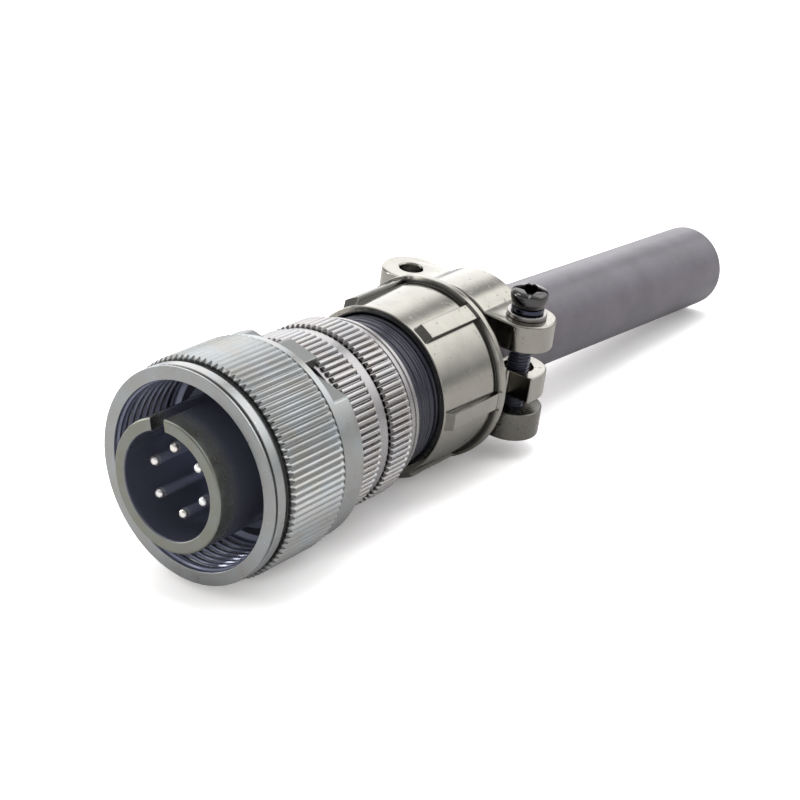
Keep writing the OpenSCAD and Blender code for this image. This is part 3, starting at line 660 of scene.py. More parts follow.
class PLUG_OT_finishes(bpy.types.Operator):
    """Builds every finish and gives the kept CAD nodes theirs"""

    bl_idname = "cable_plug.finishes"
    bl_label = "Mix finishes"

    def execute(self, context):
        colours = context.scene.plug_colours
        build_groups()

        # Both give a function that makes the mask of the plain metal, 1 where it stays, and gives
        # the colour and the roughness of the navy that takes the rest. That navy is painted shade
        # in the nut's bore, on the barrel inside the nut, on the middle of each screw shank and on
        # the pins' shafts, and the dark finish of the back shell's thread
        def beyond(near, far, by=1.0, end=200.0):
            """Navy inside a radius and in front of an end station, in millimetres."""
            def mask(tree):
                place = place_mask(tree, near, far, end - 0.1, end)
                plain = calc(tree, "MAXIMUM", place["Outward"], place["Along"])
                return plain, shade(colours.deep, by), 0.14
            return mask

        def before(front, back, bore=8.4, by=0.8):
            """Navy behind a station, fading in, and inside a bore."""
            def mask(tree):
                place = place_mask(tree, bore - 0.05, bore + 0.1, front, back)
                plain = times(tree, place["Outward"], less(tree, 1.0, place["Along"]))
                return plain, shade(colours.deep, by), 0.22
            return mask

        # Each finish has its colour and the range of its roughness
        flats_front = NUT_LEN - FLAT_LEN - 0.1
        # The nut: painted shade on the neck in front of the knurl and inside that radius behind
        # it, and painted shade in navy over its bore and coupling thread
        turned_metal("nut plating", colours.nut, (0.26, 0.38), speckle=0.12,
                     tooth=(16.45, 16.6, 0.55, 2.4), deep=beyond(14.6, 14.7, 1.6, flats_front))
        # The shells: painted shade in the roots of the grip knurls; the navy inside is the dark
        # finish of the back shell's thread
        turned_metal("shell plating", colours.shell, (0.22, 0.34),
                     tooth=(14.4, 14.7, 0.8, 0.0), deep=beyond(12.85, 13.2, 0.36))
        # The barrel: painted shade in navy inside its bore and behind its rim, where it sits in
        # the nut
        turned_metal("barrel plating", colours.barrel, (0.26, 0.38), lines=12000.0,
                     deep=before(-4.1, 0.5))
        cast_metal("clamp casting", colours.clamp, (0.1, 0.2))
        # The lower saddle takes the clamp casting at half brightness, painted shade for the saddle
        # that lies under the plug, with a rougher gloss
        cast_metal("painted shade casting", shade(colours.clamp, 0.5), (0.2, 0.32), dents=0.62)
        turned_metal("screw steel", colours.dark, (0.12, 0.26), depth=0.2)
        turned_metal("spring steel", shade(colours.deep, 0.6), (0.12, 0.26), depth=0.2)
        turned_metal("washer steel", shade(colours.dark, 3.4), (0.2, 0.34), depth=0.2)
        # The shank: painted shade in navy over its middle, near the plug's axis between the arms;
        # its ends keep a lighter steel, a painted highlight where the left screw's end shows in
        # the upper ear's hole
        turned_metal("shank steel", shade(colours.dark, 2.0), (0.2, 0.3), depth=0.0,
                     deep=beyond(14.8, 15.0, 0.6))
        # The pins: painted shade in navy over the shafts behind their tips, inside the insert's
        # bore
        turned_metal("contact plating", colours.contact, (0.3, 0.42), depth=0.3,
                     deep=before(-1.5, -0.9, 0.0, 1.7))
        moulded_plastic("insert plastic", colours.insert, (0.36, 0.5))
        sleeve_rubber("sleeve rubber", colours.sleeve)
        kept = {"front_insert": "insert plastic", "rear_insert": "insert plastic",
                "nut_retaining_ring": "washer steel", "insert_retaining_ring": "washer steel"}
        kept.update({f"contact_pin_{k}": "contact plating" for k in "abcdef"})
        for node, finish in kept.items():
            set_finish(frame["nodes"][node].data, finish)
        return {"FINISHED"}


# ---------------------------------------------------------------- pieces

# Sections of a tooth: [place in the tooth's pitch, share of its height]
TOOTH = [[-0.5, 0], [-0.45, 0.02], [-0.3, 0.42], [-0.14, 0.9], [-0.07, 1.0],
         [0.07, 1.0], [0.14, 0.9], [0.3, 0.42], [0.45, 0.02]]
DEEP_TOOTH = [[-0.5, 0], [-0.45, 0.0], [-0.26, 0.82], [-0.21, 0.95], [-0.15, 1.0],
              [0.15, 1.0], [0.21, 0.95], [0.26, 0.82], [0.45, 0.0]]


class PLUG_OT_coupling_nut(bpy.types.Operator):
    """Coupling nut: knurl, wrench flats with stop lugs and the inner coupling thread"""

    bl_idname = "cable_plug.coupling_nut"
    bl_label = "Coupling nut"

    def execute(self, context):
        sizes = context.scene.plug_sizes
        pitch, flat_y = sizes.coupling_pitch / MM, NUT_LEN - FLAT_LEN
        outline = rounded([
            [MOUTH_R, 0, 0.12], [NUT_R - 0.08, 0, 0.1], [NUT_R - 0.08, 0.34, 0.04],
            [NUT_R - 0.5, 0.4, 0.04], [NUT_R - 0.5, 0.72, 0.04], [NUT_R - 0.04, 0.86, 0.1],
            [NUT_R - 0.04, 2.4, 0.1], [NECK_R, 2.6, 0.06], [NECK_R, 3.4, 0.05],
            [NUT_ROOT_R - 0.1, 3.4, 0],
            [NUT_ROOT_R - 0.1, NUT_KNURL_Y[1], 0], [NUT_R, NUT_KNURL_Y[1], 0.1],
            [NUT_R, flat_y - 0.01, 0], [NUT_R, flat_y + 0.01, 0],
            [NUT_R, NUT_LEN, 0.3], [JOURNAL_R + 0.07, NUT_LEN, 0.2],
            [JOURNAL_R + 0.07, NUT_WEB_Y, 0.1], [NUT_CHAMBER_R, NUT_WEB_Y, 0.1],
            [NUT_CHAMBER_R, NUT_CHAMBER_Y + 0.5, 0.1], [COUPLING_R, NUT_CHAMBER_Y, 0.1],
            [COUPLING_R, COUPLING_Y, 0.1], [MOUTH_R, 0.57, 0.1]])

        def threaded(r, y, slack=0.02):
            """Where the wall is that of the coupling thread."""
            return (np.abs(r - COUPLING_R) < slack) & (y > COUPLING_Y) & (y < NUT_CHAMBER_Y)

        outline = finer(outline, threaded, pitch / 10)
        # Further directions at the ends of both flats and at the sides of their lugs
        centres = np.radians([FLAT_TURN, FLAT_TURN + 180])
        half = math.acos(FLAT_D / NUT_R)
        lug = math.asin(STOP_W / 2 / FLAT_D)
        lug_top = math.asin(STOP_W / 2 / STOP_D)
        steps = np.array([0, half - 0.03, half, half + 0.01, lug, lug_top, lug_top - 0.01,
                          lug * 0.5, half * 0.7, half * 0.85])
        extra = (centres[:, None] + np.concatenate([steps, -steps])[None]).ravel()

        def shape(r, a, y):
            """Adds the thread's groove to the bore, and cuts the rear to the flats: their
            distance, or that of a lug's top, over the cosine of the turn from their middle."""
            groove = COUPLING_DEPTH * thread_groove(a, y, pitch, 0.7, NUT_CHAMBER_Y)
            r = np.where(threaded(r, y, 0.05), r + groove, r)
            off = np.mod(a - centres[0] + math.pi / 2, math.pi) - math.pi / 2
            stop = np.abs(off) <= (lug_top + lug) / 2
            limit = np.where(stop, STOP_D, FLAT_D) / np.cos(np.clip(off, -1.2, 1.2))
            return np.where((y > flat_y) & (r > FLAT_D - 0.2), np.minimum(r, limit), r)

        body = turned(outline, full_turn(FINE_ROUND, extra), shape)
        y0, y1 = NUT_KNURL_Y
        stations = [y0, y0 + 0.02, y0 + 0.57, y0 + 0.59, y1 - 0.75, y1 - 0.68, y1 + 0.1]
        caps = [NUT_ROOT_R - 0.1, NUT_ROOT_R + 0.32, NUT_CREST_R - 0.02, NUT_CREST_R, NUT_CREST_R,
                NUT_CREST_R - 0.02, NUT_ROOT_R]
        # marks: painted shade on the bevelled fronts of the teeth
        knurl, marks = knurl_ring(sizes.nut_teeth, NUT_ROOT_R + 0.28, NUT_CREST_R,
                                  NUT_ROOT_R - 0.5, stations, caps, TOOTH)
        make_piece("coupling_nut_dressed", [body, knurl], "nut plating", "coupling_nut",
                   ["coupling_nut"], [None, marks])
        return {"FINISHED"}


class PLUG_OT_front_shell(bpy.types.Operator):
    """Front shell: slotted barrel, journal, grip knurl and joint thread"""

    bl_idname = "cable_plug.front_shell"
    bl_label = "Front shell"

    def execute(self, context):
        sizes = context.scene.plug_sizes
        barrel = rounded([
            [BARREL_BORE_R, BARREL_FRONT_Y, 0.35], [BARREL_R, BARREL_FRONT_Y, 0.35],
            [BARREL_R, KEYWAY_END_Y, 0.02], [BARREL_BORE_R, KEYWAY_END_Y, 0.02]])
        half = np.arcsin(KEYWAY_W / 2 / barrel[:, 0])
        start = math.radians(KEY_TURN) + half
        slotted = open_turn(barrel, start, start + 2 * math.pi - 2 * half, 160)
        groove_r, bore_r, collar_r, rim_r = JOURNAL_R - 0.65, SHELL_BORE_R, 14.4, 14.5
        y0, y1 = FRONT_GRIP_Y
        body = turned(rounded([
            [BARREL_BORE_R, KEYWAY_END_Y - 0.03, 0.1], [BARREL_R, KEYWAY_END_Y - 0.03, 0.1],
            [BARREL_R, 11.6, 0.1], [JOURNAL_R, 11.6, 0.3], [JOURNAL_R, 15.15, 0.05],
            [groove_r, 15.15, 0.05], [groove_r, 16.05, 0.05], [JOURNAL_R, 16.05, 0.05],
            [JOURNAL_R, COLLAR_Y, 0.05], [collar_r, COLLAR_Y, 0.2], [collar_r, y0, 0.1],
            [GRIP_FLOOR_R, y0, 0], [GRIP_FLOOR_R, y1, 0], [rim_r, y1, 0.1], [rim_r, STEP_Y, 0.4],
            [REAR_THREAD_R, STEP_Y, 0.05], [REAR_THREAD_R, JOINT_END_Y, 0.5],
            [bore_r, JOINT_END_Y, 0.1], [bore_r, 24.0, 0.05], [RING_GROOVE_R, 24.0, 0.05],
            [RING_GROOVE_R, 23.05, 0.05], [bore_r, 23.05, 0.05], [bore_r, 12.1, 0.05],
            [BARREL_BORE_R, 12.1, 0.05]]), full_turn(ROUND))
        make_piece("front_shell_barrel", [slotted, body], "barrel plating", "plug_body",
                   ["front_shell"])
        # marks: painted shade on the bevelled ends of the grip's teeth
        grip, marks = grip_knurl(sizes.grip_teeth, y0, y1)
        # Thin skins over the collar and the rim, so that they take the grip's finish
        skins = [turned(rounded(rows), full_turn(ROUND)) for rows in (
            [[13.9, COLLAR_Y + 0.02, 0.02], [collar_r + 0.02, COLLAR_Y, 0.2],
             [collar_r + 0.02, y0 + 0.02, 0.05], [13.9, y0 + 0.02, 0.02]],
            [[14.0, y1 - 0.02, 0.02], [rim_r + 0.02, y1 - 0.02, 0.1],
             [rim_r + 0.02, STEP_Y + 0.02, 0.4], [14.0, STEP_Y + 0.02, 0.02]])]
        make_piece("front_grip", [grip, *skins], "shell plating", "plug_body",
                   corners=[marks])
        return {"FINISHED"}


def grip_knurl(teeth, y0, y1):
    """Deep knurl of a shell, its tooth ends bevelled, and its painted shade marks."""
    low = GRIP_R - 0.29
    stations = [y0, y0 + 0.02, y0 + 0.34, y0 + 0.36, y1 - 0.38, y1 - 0.3, y1]
    caps = [low, low + 0.02, GRIP_R - 0.01, GRIP_R, GRIP_R, GRIP_R - 0.01, low]
    return knurl_ring(teeth, GRIP_ROOT_R, GRIP_R, GRIP_ROOT_R - 0.5, stations, caps, DEEP_TOOTH)


class PLUG_OT_back_shell(bpy.types.Operator):
    """Back shell: grip knurl, rim, groove, plain ring and the thread for the clamp"""

    bl_idname = "cable_plug.back_shell"
    bl_label = "Back shell"

    def execute(self, context):
        sizes = context.scene.plug_sizes
        pitch, (y0, y1) = sizes.rear_pitch / MM, BACK_GRIP_Y
        outline = rounded([
            [13.08, y0, 0.2], [GRIP_FLOOR_R, y0, 0.02], [GRIP_FLOOR_R, y1, 0],
            [GRIP_ROOT_R, y1, 0.02], [GRIP_ROOT_R, 34.9, 0.1], [13.4, 34.9, 0.08],
            [13.4, 35.5, 0.08], [BACK_RING_R, 35.5, 0.15], [BACK_RING_R, 36.3, 0.05],
            [13.75, 36.4, 0.04], [13.75, 36.6, 0.04], [BACK_RING_R, 36.7, 0.05],
            [BACK_RING_R, BACK_THREAD_Y, 0.2], [REAR_THREAD_R, BACK_THREAD_Y, 0.1],
            [REAR_THREAD_R, BACK_END_Y, 0.5], [BACK_BORE_R, BACK_END_Y, 0.4],
            [BACK_BORE_R, y1, 0.1], [THREAD_BORE_R, y1, 0.1], [THREAD_BORE_R, 29.5, 0.1]])

        def threaded(r, y, slack=0.02, start=BACK_THREAD_Y):
            """Where the wall is that of the rear thread."""
            return (np.abs(r - REAR_THREAD_R) < slack) & (y > start)

        outline = finer(outline, threaded, pitch / 10)

        def shape(r, a, y):
            """Takes the thread's groove off the rear thread."""
            groove = REAR_DEPTH * thread_groove(a, y, pitch, BACK_THREAD_Y + 0.1, BACK_END_Y)
            return np.where(threaded(r, y, 0.05, BACK_THREAD_Y + 0.15), r - groove, r)

        body = turned(outline, full_turn(ROUND), shape)
        # marks: painted shade on the bevelled ends of the grip's teeth
        grip, marks = grip_knurl(sizes.grip_teeth, y0, y1)
        make_piece("back_shell_dressed", [body, grip], "shell plating", "plug_body",
                   ["back_shell"], [None, marks])
        return {"FINISHED"}


class PLUG_OT_cable_clamp(bpy.types.Operator):
    """Cable clamp: ribbed ring, flange and the two arms that carry the saddles"""

    bl_idname = "cable_plug.cable_clamp"
    bl_label = "Cable clamp"

    def execute(self, context):
        outline = rounded([
            [13.18, CLAMP_Y, 0.15], [CLAMP_R, CLAMP_Y, 0.22],
            [CLAMP_REAR_R, FLANGE_Y - 0.05, 0.12], [FLANGE_R - 0.7, FLANGE_Y, 0.05],
            [FLANGE_R, FLANGE_Y + 0.45, 0.12], [FLANGE_R, CLAMP_END_Y, 0.45],
            [CABLE_HOLE_R, CLAMP_END_Y, 0.4], [CABLE_HOLE_R, 56.3, 0.1], [CLAMP_BORE_R, 56.3, 0.1],
            [CLAMP_BORE_R, 49.6, 0.1], [THREAD_BORE_R, 49.6, 0.1], [THREAD_BORE_R, 44.1, 0.1]])
        start = CLAMP_Y + RIB_START

        def detailed(r, y):
            """Where the ribs rise and where they meet the flange."""
            ramp = (y > start - 0.2) & (y < start + 1.4)
            return (r > CLAMP_R - 0.02) & (ramp | ((y > FLANGE_Y - 1.0) & (y < FLANGE_Y)))

        outline = finer(outline, detailed, 0.05)
        middles = np.radians(30 + 360 / RIB_COUNT * np.arange(RIB_COUNT))

        def from_rib(a):
            """Distance round the clamp from the middle of the nearest rib."""
            turn = 2 * math.pi / RIB_COUNT
            return np.abs(np.mod(a - middles[0] + turn / 2, turn) - turn / 2) * CLAMP_R

        # Further directions over both sides of each rib, where its wall rises
        side = np.array([1.72, 1.66, 1.58, 1.52, 1.46, 1.4, 1.34, 1.2, 0.6]) * RIB_W / 2 / 1.45
        side = np.concatenate([-side, [0], side[::-1]]) / CLAMP_R
        angles = full_turn(180, (middles[:, None] + side[None]).ravel())

        def shape(r, a, y):
            """Raises the wall to a rib: its height x s^2 (3 - 2 s) across its side x the share
            of the ramp that is passed."""
            across = np.clip((RIB_W / 2 + 0.12 - from_rib(a)) / 0.24, 0, 1)
            ramp = np.clip((y - start) / RIB_SLOPE, 0, 1)
            rise = (RIB_R - CLAMP_R) * across * across * (3 - 2 * across) * ramp
            wall = (r > CLAMP_R - 0.01) & (y > start - 0.1) & (y < FLANGE_Y + 0.01)
            return np.where(wall, np.maximum(r, CLAMP_R + rise), r)

        parts = [turned(outline, angles, shape)]
        for mirror in ([1, 1, 1], [-1, 1, 1]):
            plate = holed_plate(np.array([SCREW_X, SCREW_Y]), self.arm_outline(), ARM_HOLE_R,
                                -ARM_HALF, ARM_HALF, 0.3)
            parts.append(placed(plate, lambda p, m=mirror: p * np.array(m)))
        # Painted shade: dark lines along both feet of each rib and in front of the flange between
        # the ribs, and a half dark face at the front of each rib, a painted reflection of the dark
        # in front
        r, y, off = outline[None, :, 0], outline[None, :, 1], from_rib(angles)[:, None]
        front = (off < RIB_W / 2 + 0.05) * np.clip((start + RIB_SLOPE - y) / 0.06, 0, 1) * 0.55
        front = front * (y > start + 0.02)
        rib_foot_shade = np.clip(1.25 - np.abs(off - RIB_W / 2 - 0.06) / 0.2, 0, 1) * (y > start + 0.3)
        flange_channel_shade = np.clip((y - FLANGE_Y + 0.75) / 0.15, 0, 1) * (r < CLAMP_REAR_R + 0.5)
        flange_channel_shade = flange_channel_shade * (off > RIB_W / 2)
        outside = (r > CLAMP_R - 0.01) & (y < FLANGE_Y + 0.4)
        marks = np.where(outside, np.maximum(np.maximum(rib_foot_shade, flange_channel_shade), front), 0.0).ravel()
        parts = [placed(part, lambda p: turn_about_axis(p, CLAMP_TURN)) for part in parts]
        make_piece("clamp_body_dressed", parts, "clamp casting", "plug_body",
                   ["clamp_body"], [marks])
        return {"FINISHED"}

    def arm_outline(self):
        """Plan of an arm: stem, squared head in front of the screw and a half-round end."""
        inner, stem, head = 8.5, 12.1, SCREW_X + ARM_END_R
        root_y, front_y = 57.9, SCREW_Y - 3.0
        end = np.radians(np.linspace(8, 90 + math.degrees(math.asin(3.5 / ARM_END_R)) - 4, 24))
        arc = np.stack([SCREW_X + ARM_END_R * np.cos(end), SCREW_Y + ARM_END_R * np.sin(end)], 1)
        corners = [[head, SCREW_Y, 0.01], *[[x, y, 0.01] for x, y in arc],
                   [inner, arc[-1][1] - 0.2, 0.4], [inner, root_y, 0.02], [stem, root_y, 0.02],
                   [stem, front_y, 0.5], [head, front_y, 0.35]]
        return rounded(corners, 3)


class PLUG_OT_saddles(bpy.types.Operator):
    """Both saddles that grip the sleeve"""

    bl_idname = "cable_plug.saddles"
    bl_label = "Saddles"

    def execute(self, context):
        width = context.scene.plug_sizes.cast_round
        # The lower saddle's finish is the clamp casting darkened as painted shade
        for side, finish in (("upper", "clamp casting"), ("lower", "painted shade casting")):
            softened_copy(f"{side}_saddle", f"{side}_saddle_dressed", finish,
                          f"{side}_clamp", width)
        return {"FINISHED"}


class PLUG_OT_clamp_screws(bpy.types.Operator):
    """Both clamp screws: pan head with a cross recess and a threaded shank"""

    bl_idname = "cable_plug.clamp_screws"
    bl_label = "Clamp screws"

    def execute(self, context):
        pitch = context.scene.plug_sizes.screw_pitch / MM
        (head, recess_shade_marks), shank = self.head(), self.shank(pitch)
        for name, upper in (("right_screw", True), ("left_screw", False)):

            def move(points, high=upper):
                return on_side(points + np.array([SCREW_X, SCREW_Y, HEAD_Z]), high)

            # The recess depth becomes painted shade in the cross recess through the corner
            # attribute
            make_piece(f"{name}_head", [placed(head, move)], "screw steel", name, [name],
                       [recess_shade_marks])
            make_piece(f"{name}_shank", [placed(shank, move)], "shank steel", name)
        return {"FINISHED"}

    def head(self):
        """Pan head on a polar grid: the outline turned round Z, its top lowered inside a star of
        four points, where short + long / 2 of the two distances from its arms stays below a limit.
        Returns the part and how deep each point lies, from 0 to 1, which the finish turns into
        painted shade in the cross recess."""
        r, h = HEAD_R, HEAD_H
        profile = np.array([
            [0, 0], [r * 0.84, 0], [r * 0.87, 0.15], [r * 0.94, 0.65], [r * 0.985, 1.15],
            [r, 1.6], [r * 0.985, 2.0], [r * 0.95, 2.28], [r * 0.89, 2.52], [r * 0.8, 2.7]])
        flat_r, sink = r * 0.78, 1.5
        top_r = np.linspace(flat_r, 0, 72)
        top = np.stack([top_r, h - 0.18 * (top_r / flat_r) ** 2.6], 1)
        rows = np.vstack([profile, top])
        a = full_turn(160)[:, None]
        x, y = rows[None, :, 0] * np.cos(a), rows[None, :, 0] * np.sin(a)
        turn = math.radians(30)
        u = np.abs(x * math.cos(turn) + y * math.sin(turn))
        v = np.abs(y * math.cos(turn) - x * math.sin(turn))
        long, short = np.maximum(u, v), np.minimum(u, v)
        star = np.clip((1.62 - short - 0.5 * long) / 0.3, 0, 1) * (rows[None, :, 1] > 2.4)
        z = rows[None, :, 1] - star * sink
        part = np.stack([x, y, z], -1), quads(len(a), len(rows), columns_close=False), []
        return part, np.clip(star * sink, 0, 1).ravel()

    def shank(self, pitch):
        """Shank with a helical groove cut below its radius, closed at both ends."""
        z = np.concatenate([[-SCREW_LEN, -SCREW_LEN],
                            np.arange(0.4 - SCREW_LEN, -0.2, pitch / 9), [0.3, 0.3]])
        r = np.full(len(z), SCREW_R)
        r[0], r[1], r[-1] = 0, SCREW_R - 0.4, 0
        a = full_turn(40)[:, None]
        groove = thread_groove(a, z[None] + SCREW_LEN, pitch, 0.2, SCREW_LEN - 0.2)
        radius = np.where(r[None] > SCREW_R - 0.05, r[None] - SCREW_DEPTH * groove, r[None])
        points = np.stack([radius * np.cos(a), radius * np.sin(a),
                           np.broadcast_to(z[None], radius.shape)], -1)
        return points, quads(len(a), len(z), columns_close=False), []


class PLUG_OT_washers(bpy.types.Operator):
    """Spring washers and flat washers under the screw heads"""

    bl_idname = "cable_plug.washers"
    bl_label = "Washers"

    def execute(self, context):
        flat = turned(rounded([
            [WASHER_BORE_R, 0, 0.06], [WASHER_R, 0, 0.12], [WASHER_R, 0.8, 0.16],
            [WASHER_BORE_R, 0.8, 0.06]]), full_turn(96))
        section = rounded([
            [WASHER_BORE_R, 0.0, 0.08], [SPRING_R, 0.0, 0.14], [SPRING_R, 0.78, 0.14],
            [WASHER_BORE_R, 0.78, 0.08]])
        start, end = (np.full(len(section), math.radians(turn)) for turn in (4, 352))
        rise = np.linspace(0, 0.21, 90)[:, None, None] * np.array([0, 1, 0])
        split = placed(open_turn(section, start, end, len(rise)), lambda p: p + rise)
        for side, upper in (("right", True), ("left", False)):
            body = "upper_clamp" if upper else "lower_clamp"
            for kind, part, lift, steel in (("flat", flat, WASHER_Z, "washer steel"),
                                            ("spring", split, SPRING_Z, "spring steel")):

                def move(p, high=upper, lift=lift):
                    turned_up = [p[..., 0] + SCREW_X, p[..., 2] + SCREW_Y, p[..., 1] + lift]
                    return on_side(np.stack(turned_up, -1), high)

                make_piece(f"{side}_{kind}_washer_dressed", [placed(part, move)], steel, body,
                           [f"{side}_{kind}_washer"])
        return {"FINISHED"}


class PLUG_OT_sleeve(bpy.types.Operator):
    """Rubber sleeve: one smooth tube through its gentle bend, with softened ends"""

    bl_idname = "cable_plug.sleeve"
    bl_label = "Rubber sleeve"

    def execute(self, context):
        droop, front_len = math.radians(DROOP), BEND_Y - SLEEVE_Y
        total, before, bend = front_len + SLEEVE_REAR_LEN, front_len - BEND_HALF, 2 * BEND_HALF
        outer = np.concatenate([[0, 0.08, 0.3], np.linspace(1, total - 1, 96),
                                [total - 0.35, total - 0.1, total]])
        ease = np.array([0.45, 0.18, 0.03, *np.zeros(96), 0.03, 0.16, 0.42])
        inner = np.concatenate([[total, total - 0.2], np.linspace(total - 1, 1, 60), [0.2, 0]])
        ease_in = np.array([0.2, 0.02, *np.zeros(60), 0.02, 0.2])
        run = np.concatenate([outer, inner])
        radius = np.concatenate([SLEEVE_R - ease, SLEEVE_BORE_R + ease_in])
        # The slope grows evenly from none to the full droop over the length of the bend, so
        # that the drop is droop x arc^2 / (2 bend); past it the run is straight
        arc = np.clip(run - before, 0, bend)
        slope = droop * arc / bend
        past = np.maximum(run - before - bend, 0)
        y = SLEEVE_Y + np.minimum(run, before) + arc + past * math.cos(droop)
        y = y - (arc ** 3) * droop ** 2 / (6 * bend ** 2)
        z = -droop * arc ** 2 / (2 * bend) - past * math.sin(droop)
        a = full_turn(144)[:, None]
        x = radius[None] * np.cos(a)
        up = radius[None] * np.sin(a)
        points = np.stack([x, y[None] + up * np.sin(slope)[None],
                           z[None] + up * np.cos(slope)[None]], -1)
        part = points, quads(len(a), len(run)), []
        make_piece("rubber_sleeve_dressed", [part], "sleeve rubber", "plug_body",
                   ["rubber_sleeve"])
        return {"FINISHED"}


# ---------------------------------------------------------------- stage

class PLUG_OT_stage(bpy.types.Operator):
    """Pale floor, soft lamps, world and camera"""

    bl_idname = "cable_plug.stage"
    bl_label = "Stage"

    def execute(self, context):
        scene, stage = context.scene, context.scene.plug_stage
        scene.view_settings.view_transform = "Standard"
        self.floor()
        self.world(scene)
        self.lamps(scene)
        self.camera(scene, stage)
        return {"FINISHED"}

    def floor(self):
        """Plane through the lowest points of the nut's knurl and the clamp's flange. Far from
        the plug it glows, and in view it is lifted a little, so that it ends in white."""
        near, far = (15.0, -NUT_CREST_R - 0.02), (57.3, -FLANGE_R - 0.02)
        slope = (far[1] - near[1]) / (far[0] - near[0])
        x, y = np.array([-1, 1, 1, -1]) * 4000.0, np.array([-1, -1, 1, 1]) * 4000.0
        z = near[1] + (y - near[0]) * slope
        mesh = bpy.data.meshes.new("floor")
        mesh.from_pydata((np.stack([x, y, z], 1) * MM).tolist(), [], [[0, 1, 2, 3]])
        material = bpy.data.materials.new("floor paper")
        material.use_nodes = True
        tree = material.node_tree
        tree.nodes.clear()
        far_off = put(tree, "ShaderNodeVectorMath", {0: object_place(tree), 1: (0.0, 0.06, 0.0)},
                      operation="DISTANCE").outputs["Value"]
        fade = eased(tree, far_off, 0.12, 0.4)
        path = put(tree, "ShaderNodeLightPath").outputs
        in_view = path["Is Camera Ray"]
        mirrored = calc(tree, "MAXIMUM", path["Is Glossy Ray"], path["Is Transmission Ray"])
        seen = calc(tree, "MAXIMUM", in_view, mirrored)
        paper = put(tree, "ShaderNodeBsdfDiffuse",
                    {"Color": blend(tree, in_view, (0.58, 0.57, 0.57), (1.1, 1.09, 1.08))})
        glow = put(tree, "ShaderNodeEmission",
                   {"Color": blend(tree, in_view, (0.66, 0.66, 0.66), (1.0, 1.0, 1.0)),
                    "Strength": 1.0})
        mix = put(tree, "ShaderNodeMixShader",
                  {0: times(tree, seen, fade), 1: paper.outputs[0], 2: glow.outputs[0]})
        lift = put(tree, "ShaderNodeEmission",
                   {"Color": (1.0, 0.98, 0.96, 1.0), "Strength": times(tree, in_view, 0.1)})
        both = put(tree, "ShaderNodeAddShader", {0: mix.outputs[0], 1: lift.outputs[0]})
        put(tree, "ShaderNodeOutputMaterial", {"Surface": both.outputs[0]})
        mesh.materials.append(material)
        floor = bpy.data.objects.new("floor", mesh)
        bpy.context.scene.collection.objects.link(floor)

    def world(self, scene):
        """White behind the plug. For light and reflections a room that is dim in front along
        the horizon and paler overhead and behind, with a window low in front and two bright
        ones behind with a gap between them."""
        world = bpy.data.worlds.new("studio")
        world.use_nodes = True
        tree = world.node_tree
        tree.nodes.clear()
        direction = put(tree, "ShaderNodeTexCoord").outputs["Generated"]
        axes = put(tree, "ShaderNodeSeparateXYZ", {0: direction}).outputs
        x, y, z = axes["X"], axes["Y"], axes["Z"]
        left = times(tree, eased(tree, x, -0.1, -0.38), eased(tree, z, 0.0, 0.12))
        right = times(tree, eased(tree, x, -0.06, 0.08), ranged(tree, z, 0.05, 0.6))
        behind = times(tree, eased(tree, y, 0.1, 0.4), plus(tree, left, right))
        front = times(tree, eased(tree, y, 0.0, -0.5), eased(tree, z, 0.4, 0.15))
        windows = plus(tree, times(tree, behind, 1.75), front)
        walls = plus(tree, eased(tree, y, -0.5, 0.1, 0.12, 0.5),
                     eased(tree, z, 0.3, 0.9, 0.05, 0.4))
        path = put(tree, "ShaderNodeLightPath").outputs
        light = put(tree, "ShaderNodeBackground",
                    {"Color": (0.985, 0.985, 1, 1), "Strength": plus(tree, walls, windows)})
        white = put(tree, "ShaderNodeBackground", {"Color": (1, 1, 1, 1), "Strength": 1.0})
        mix = put(tree, "ShaderNodeMixShader",
                  {0: path["Is Camera Ray"], 1: light.outputs[0], 2: white.outputs[0]})
        put(tree, "ShaderNodeOutputWorld", {"Surface": mix.outputs[0]})
        scene.world = world

    def stand(self, scene, name, data, axes, place):
        """Object for a lamp or a camera with its axes along three directions."""
        holder = bpy.data.objects.new(name, data)
        rows = np.column_stack([*axes, place])
        holder.matrix_world = Matrix([*rows.tolist(), [0, 0, 0, 1]])
        scene.collection.objects.link(holder)
        return holder

    def lamps(self, scene):
        """Large softboxes, each given by its place, its aim, its two sides, its power and
        whether metals mirror it."""
        boxes = (
            ("overhead softbox", (-0.05, 0.12, 0.55), (0, 0.06, 0), (0.44, 0.32), 1.75, False),
            ("front window", (-0.33, -0.2, 0.44), (0, 0, 0), (0.28, 0.2), 0.55, True),
            ("side window", (-0.43, -0.19, 0.1), (0, 0, 0), (0.14, 0.09), 0.5, True),
            ("mouth fill", (0.12, -0.6, 0.07), (0, 0, 0), (0.3, 0.2), 4.4, False),
        )
        for name, place, aim, (width, height), power, mirrored in boxes:
            lamp = bpy.data.lights.new(name, "AREA")
            lamp.shape, lamp.size, lamp.size_y, lamp.energy = "RECTANGLE", width, height, power
            back = np.array(place, float) - np.array(aim, float)
            back = back / np.linalg.norm(back)
            side = np.cross([0.0, 1.0, 0.0], back)
            side = side / np.linalg.norm(side)
            holder = self.stand(scene, name, lamp, (side, np.cross(back, side), back), place)
            holder.visible_glossy = mirrored

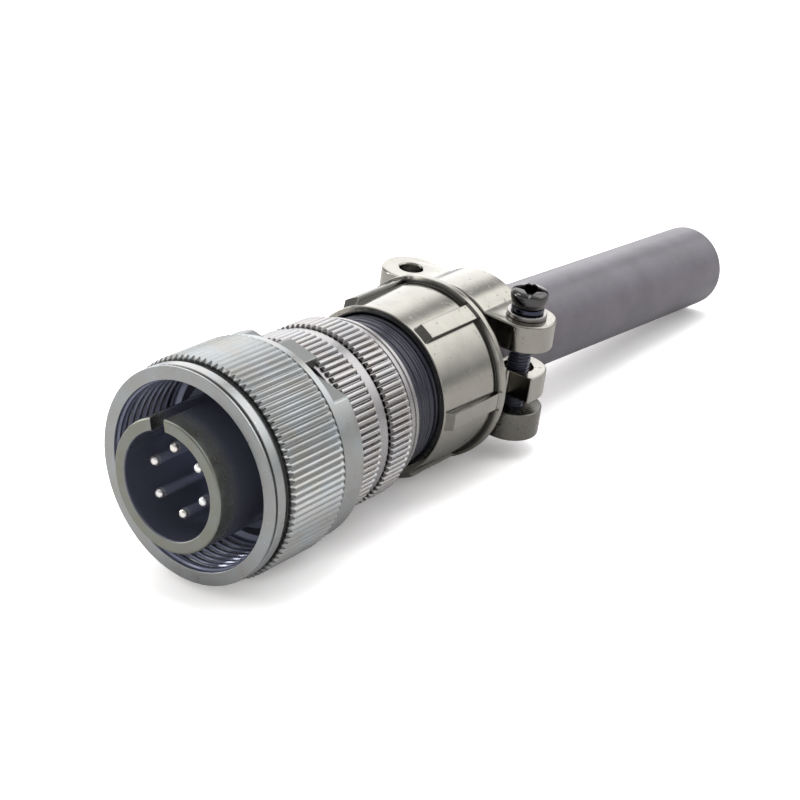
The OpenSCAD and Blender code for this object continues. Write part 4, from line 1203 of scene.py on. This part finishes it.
    def camera(self, scene, stage):
        """Camera on a sphere round its target, by azimuth, elevation and roll."""
        az, el, roll = stage.azimuth, stage.elevation, stage.roll
        back = np.array([math.sin(az) * math.cos(el), -math.cos(az) * math.cos(el), math.sin(el)])
        right = np.array([math.cos(az), math.sin(az), 0.0])
        up = np.cross(back, right)
        side = right * math.cos(roll) + up * math.sin(roll)
        top = up * math.cos(roll) - right * math.sin(roll)
        lens = bpy.data.cameras.new("studio camera")
        lens.lens, lens.sensor_width = stage.lens, 36.0
        lens.clip_start, lens.clip_end = 0.01, 50.0
        place = np.array(stage.target) + back * stage.distance
        scene.camera = self.stand(scene, "studio camera", lens, (side, top, back), place)


# ---------------------------------------------------------------- add-on

STEPS = (PLUG_OT_finishes, PLUG_OT_coupling_nut, PLUG_OT_front_shell, PLUG_OT_back_shell,
         PLUG_OT_cable_clamp, PLUG_OT_saddles, PLUG_OT_clamp_screws, PLUG_OT_washers,
         PLUG_OT_sleeve, PLUG_OT_stage)


class PLUG_PT_panel(bpy.types.Panel):
    """Lists the steps that dress the plug and their settings"""

    bl_label = "Cable Plug"
    bl_idname = "PLUG_PT_panel"
    bl_space_type = "VIEW_3D"
    bl_region_type = "UI"
    bl_category = "Cable Plug"

    def draw(self, context):
        for step in STEPS:
            self.layout.operator(step.bl_idname)
        for group_name in ("plug_sizes", "plug_colours", "plug_stage"):
            settings = getattr(context.scene, group_name)
            column = self.layout.column()
            for name in settings.__annotations__:
                column.prop(settings, name)


SETTINGS = {"plug_sizes": PlugSizes, "plug_colours": PlugColours, "plug_stage": PlugStage}


def register():
    """Registers every class and puts the settings on the scene."""
    for item in (*SETTINGS.values(), *STEPS, PLUG_PT_panel):
        bpy.utils.register_class(item)
    for name, item in SETTINGS.items():
        setattr(bpy.types.Scene, name, PointerProperty(type=item))


def unregister():
    """Takes the settings and the classes away again."""
    for name in SETTINGS:
        delattr(bpy.types.Scene, name)
    for item in (PLUG_PT_panel, *STEPS[::-1], *SETTINGS.values()):
        bpy.utils.unregister_class(item)


def main():
    """Runs every step in order."""
    register()
    for step in STEPS:
        module, name = step.bl_idname.split(".")
        getattr(getattr(bpy.ops, module), name)()


if __name__ == "__main__":
    main()
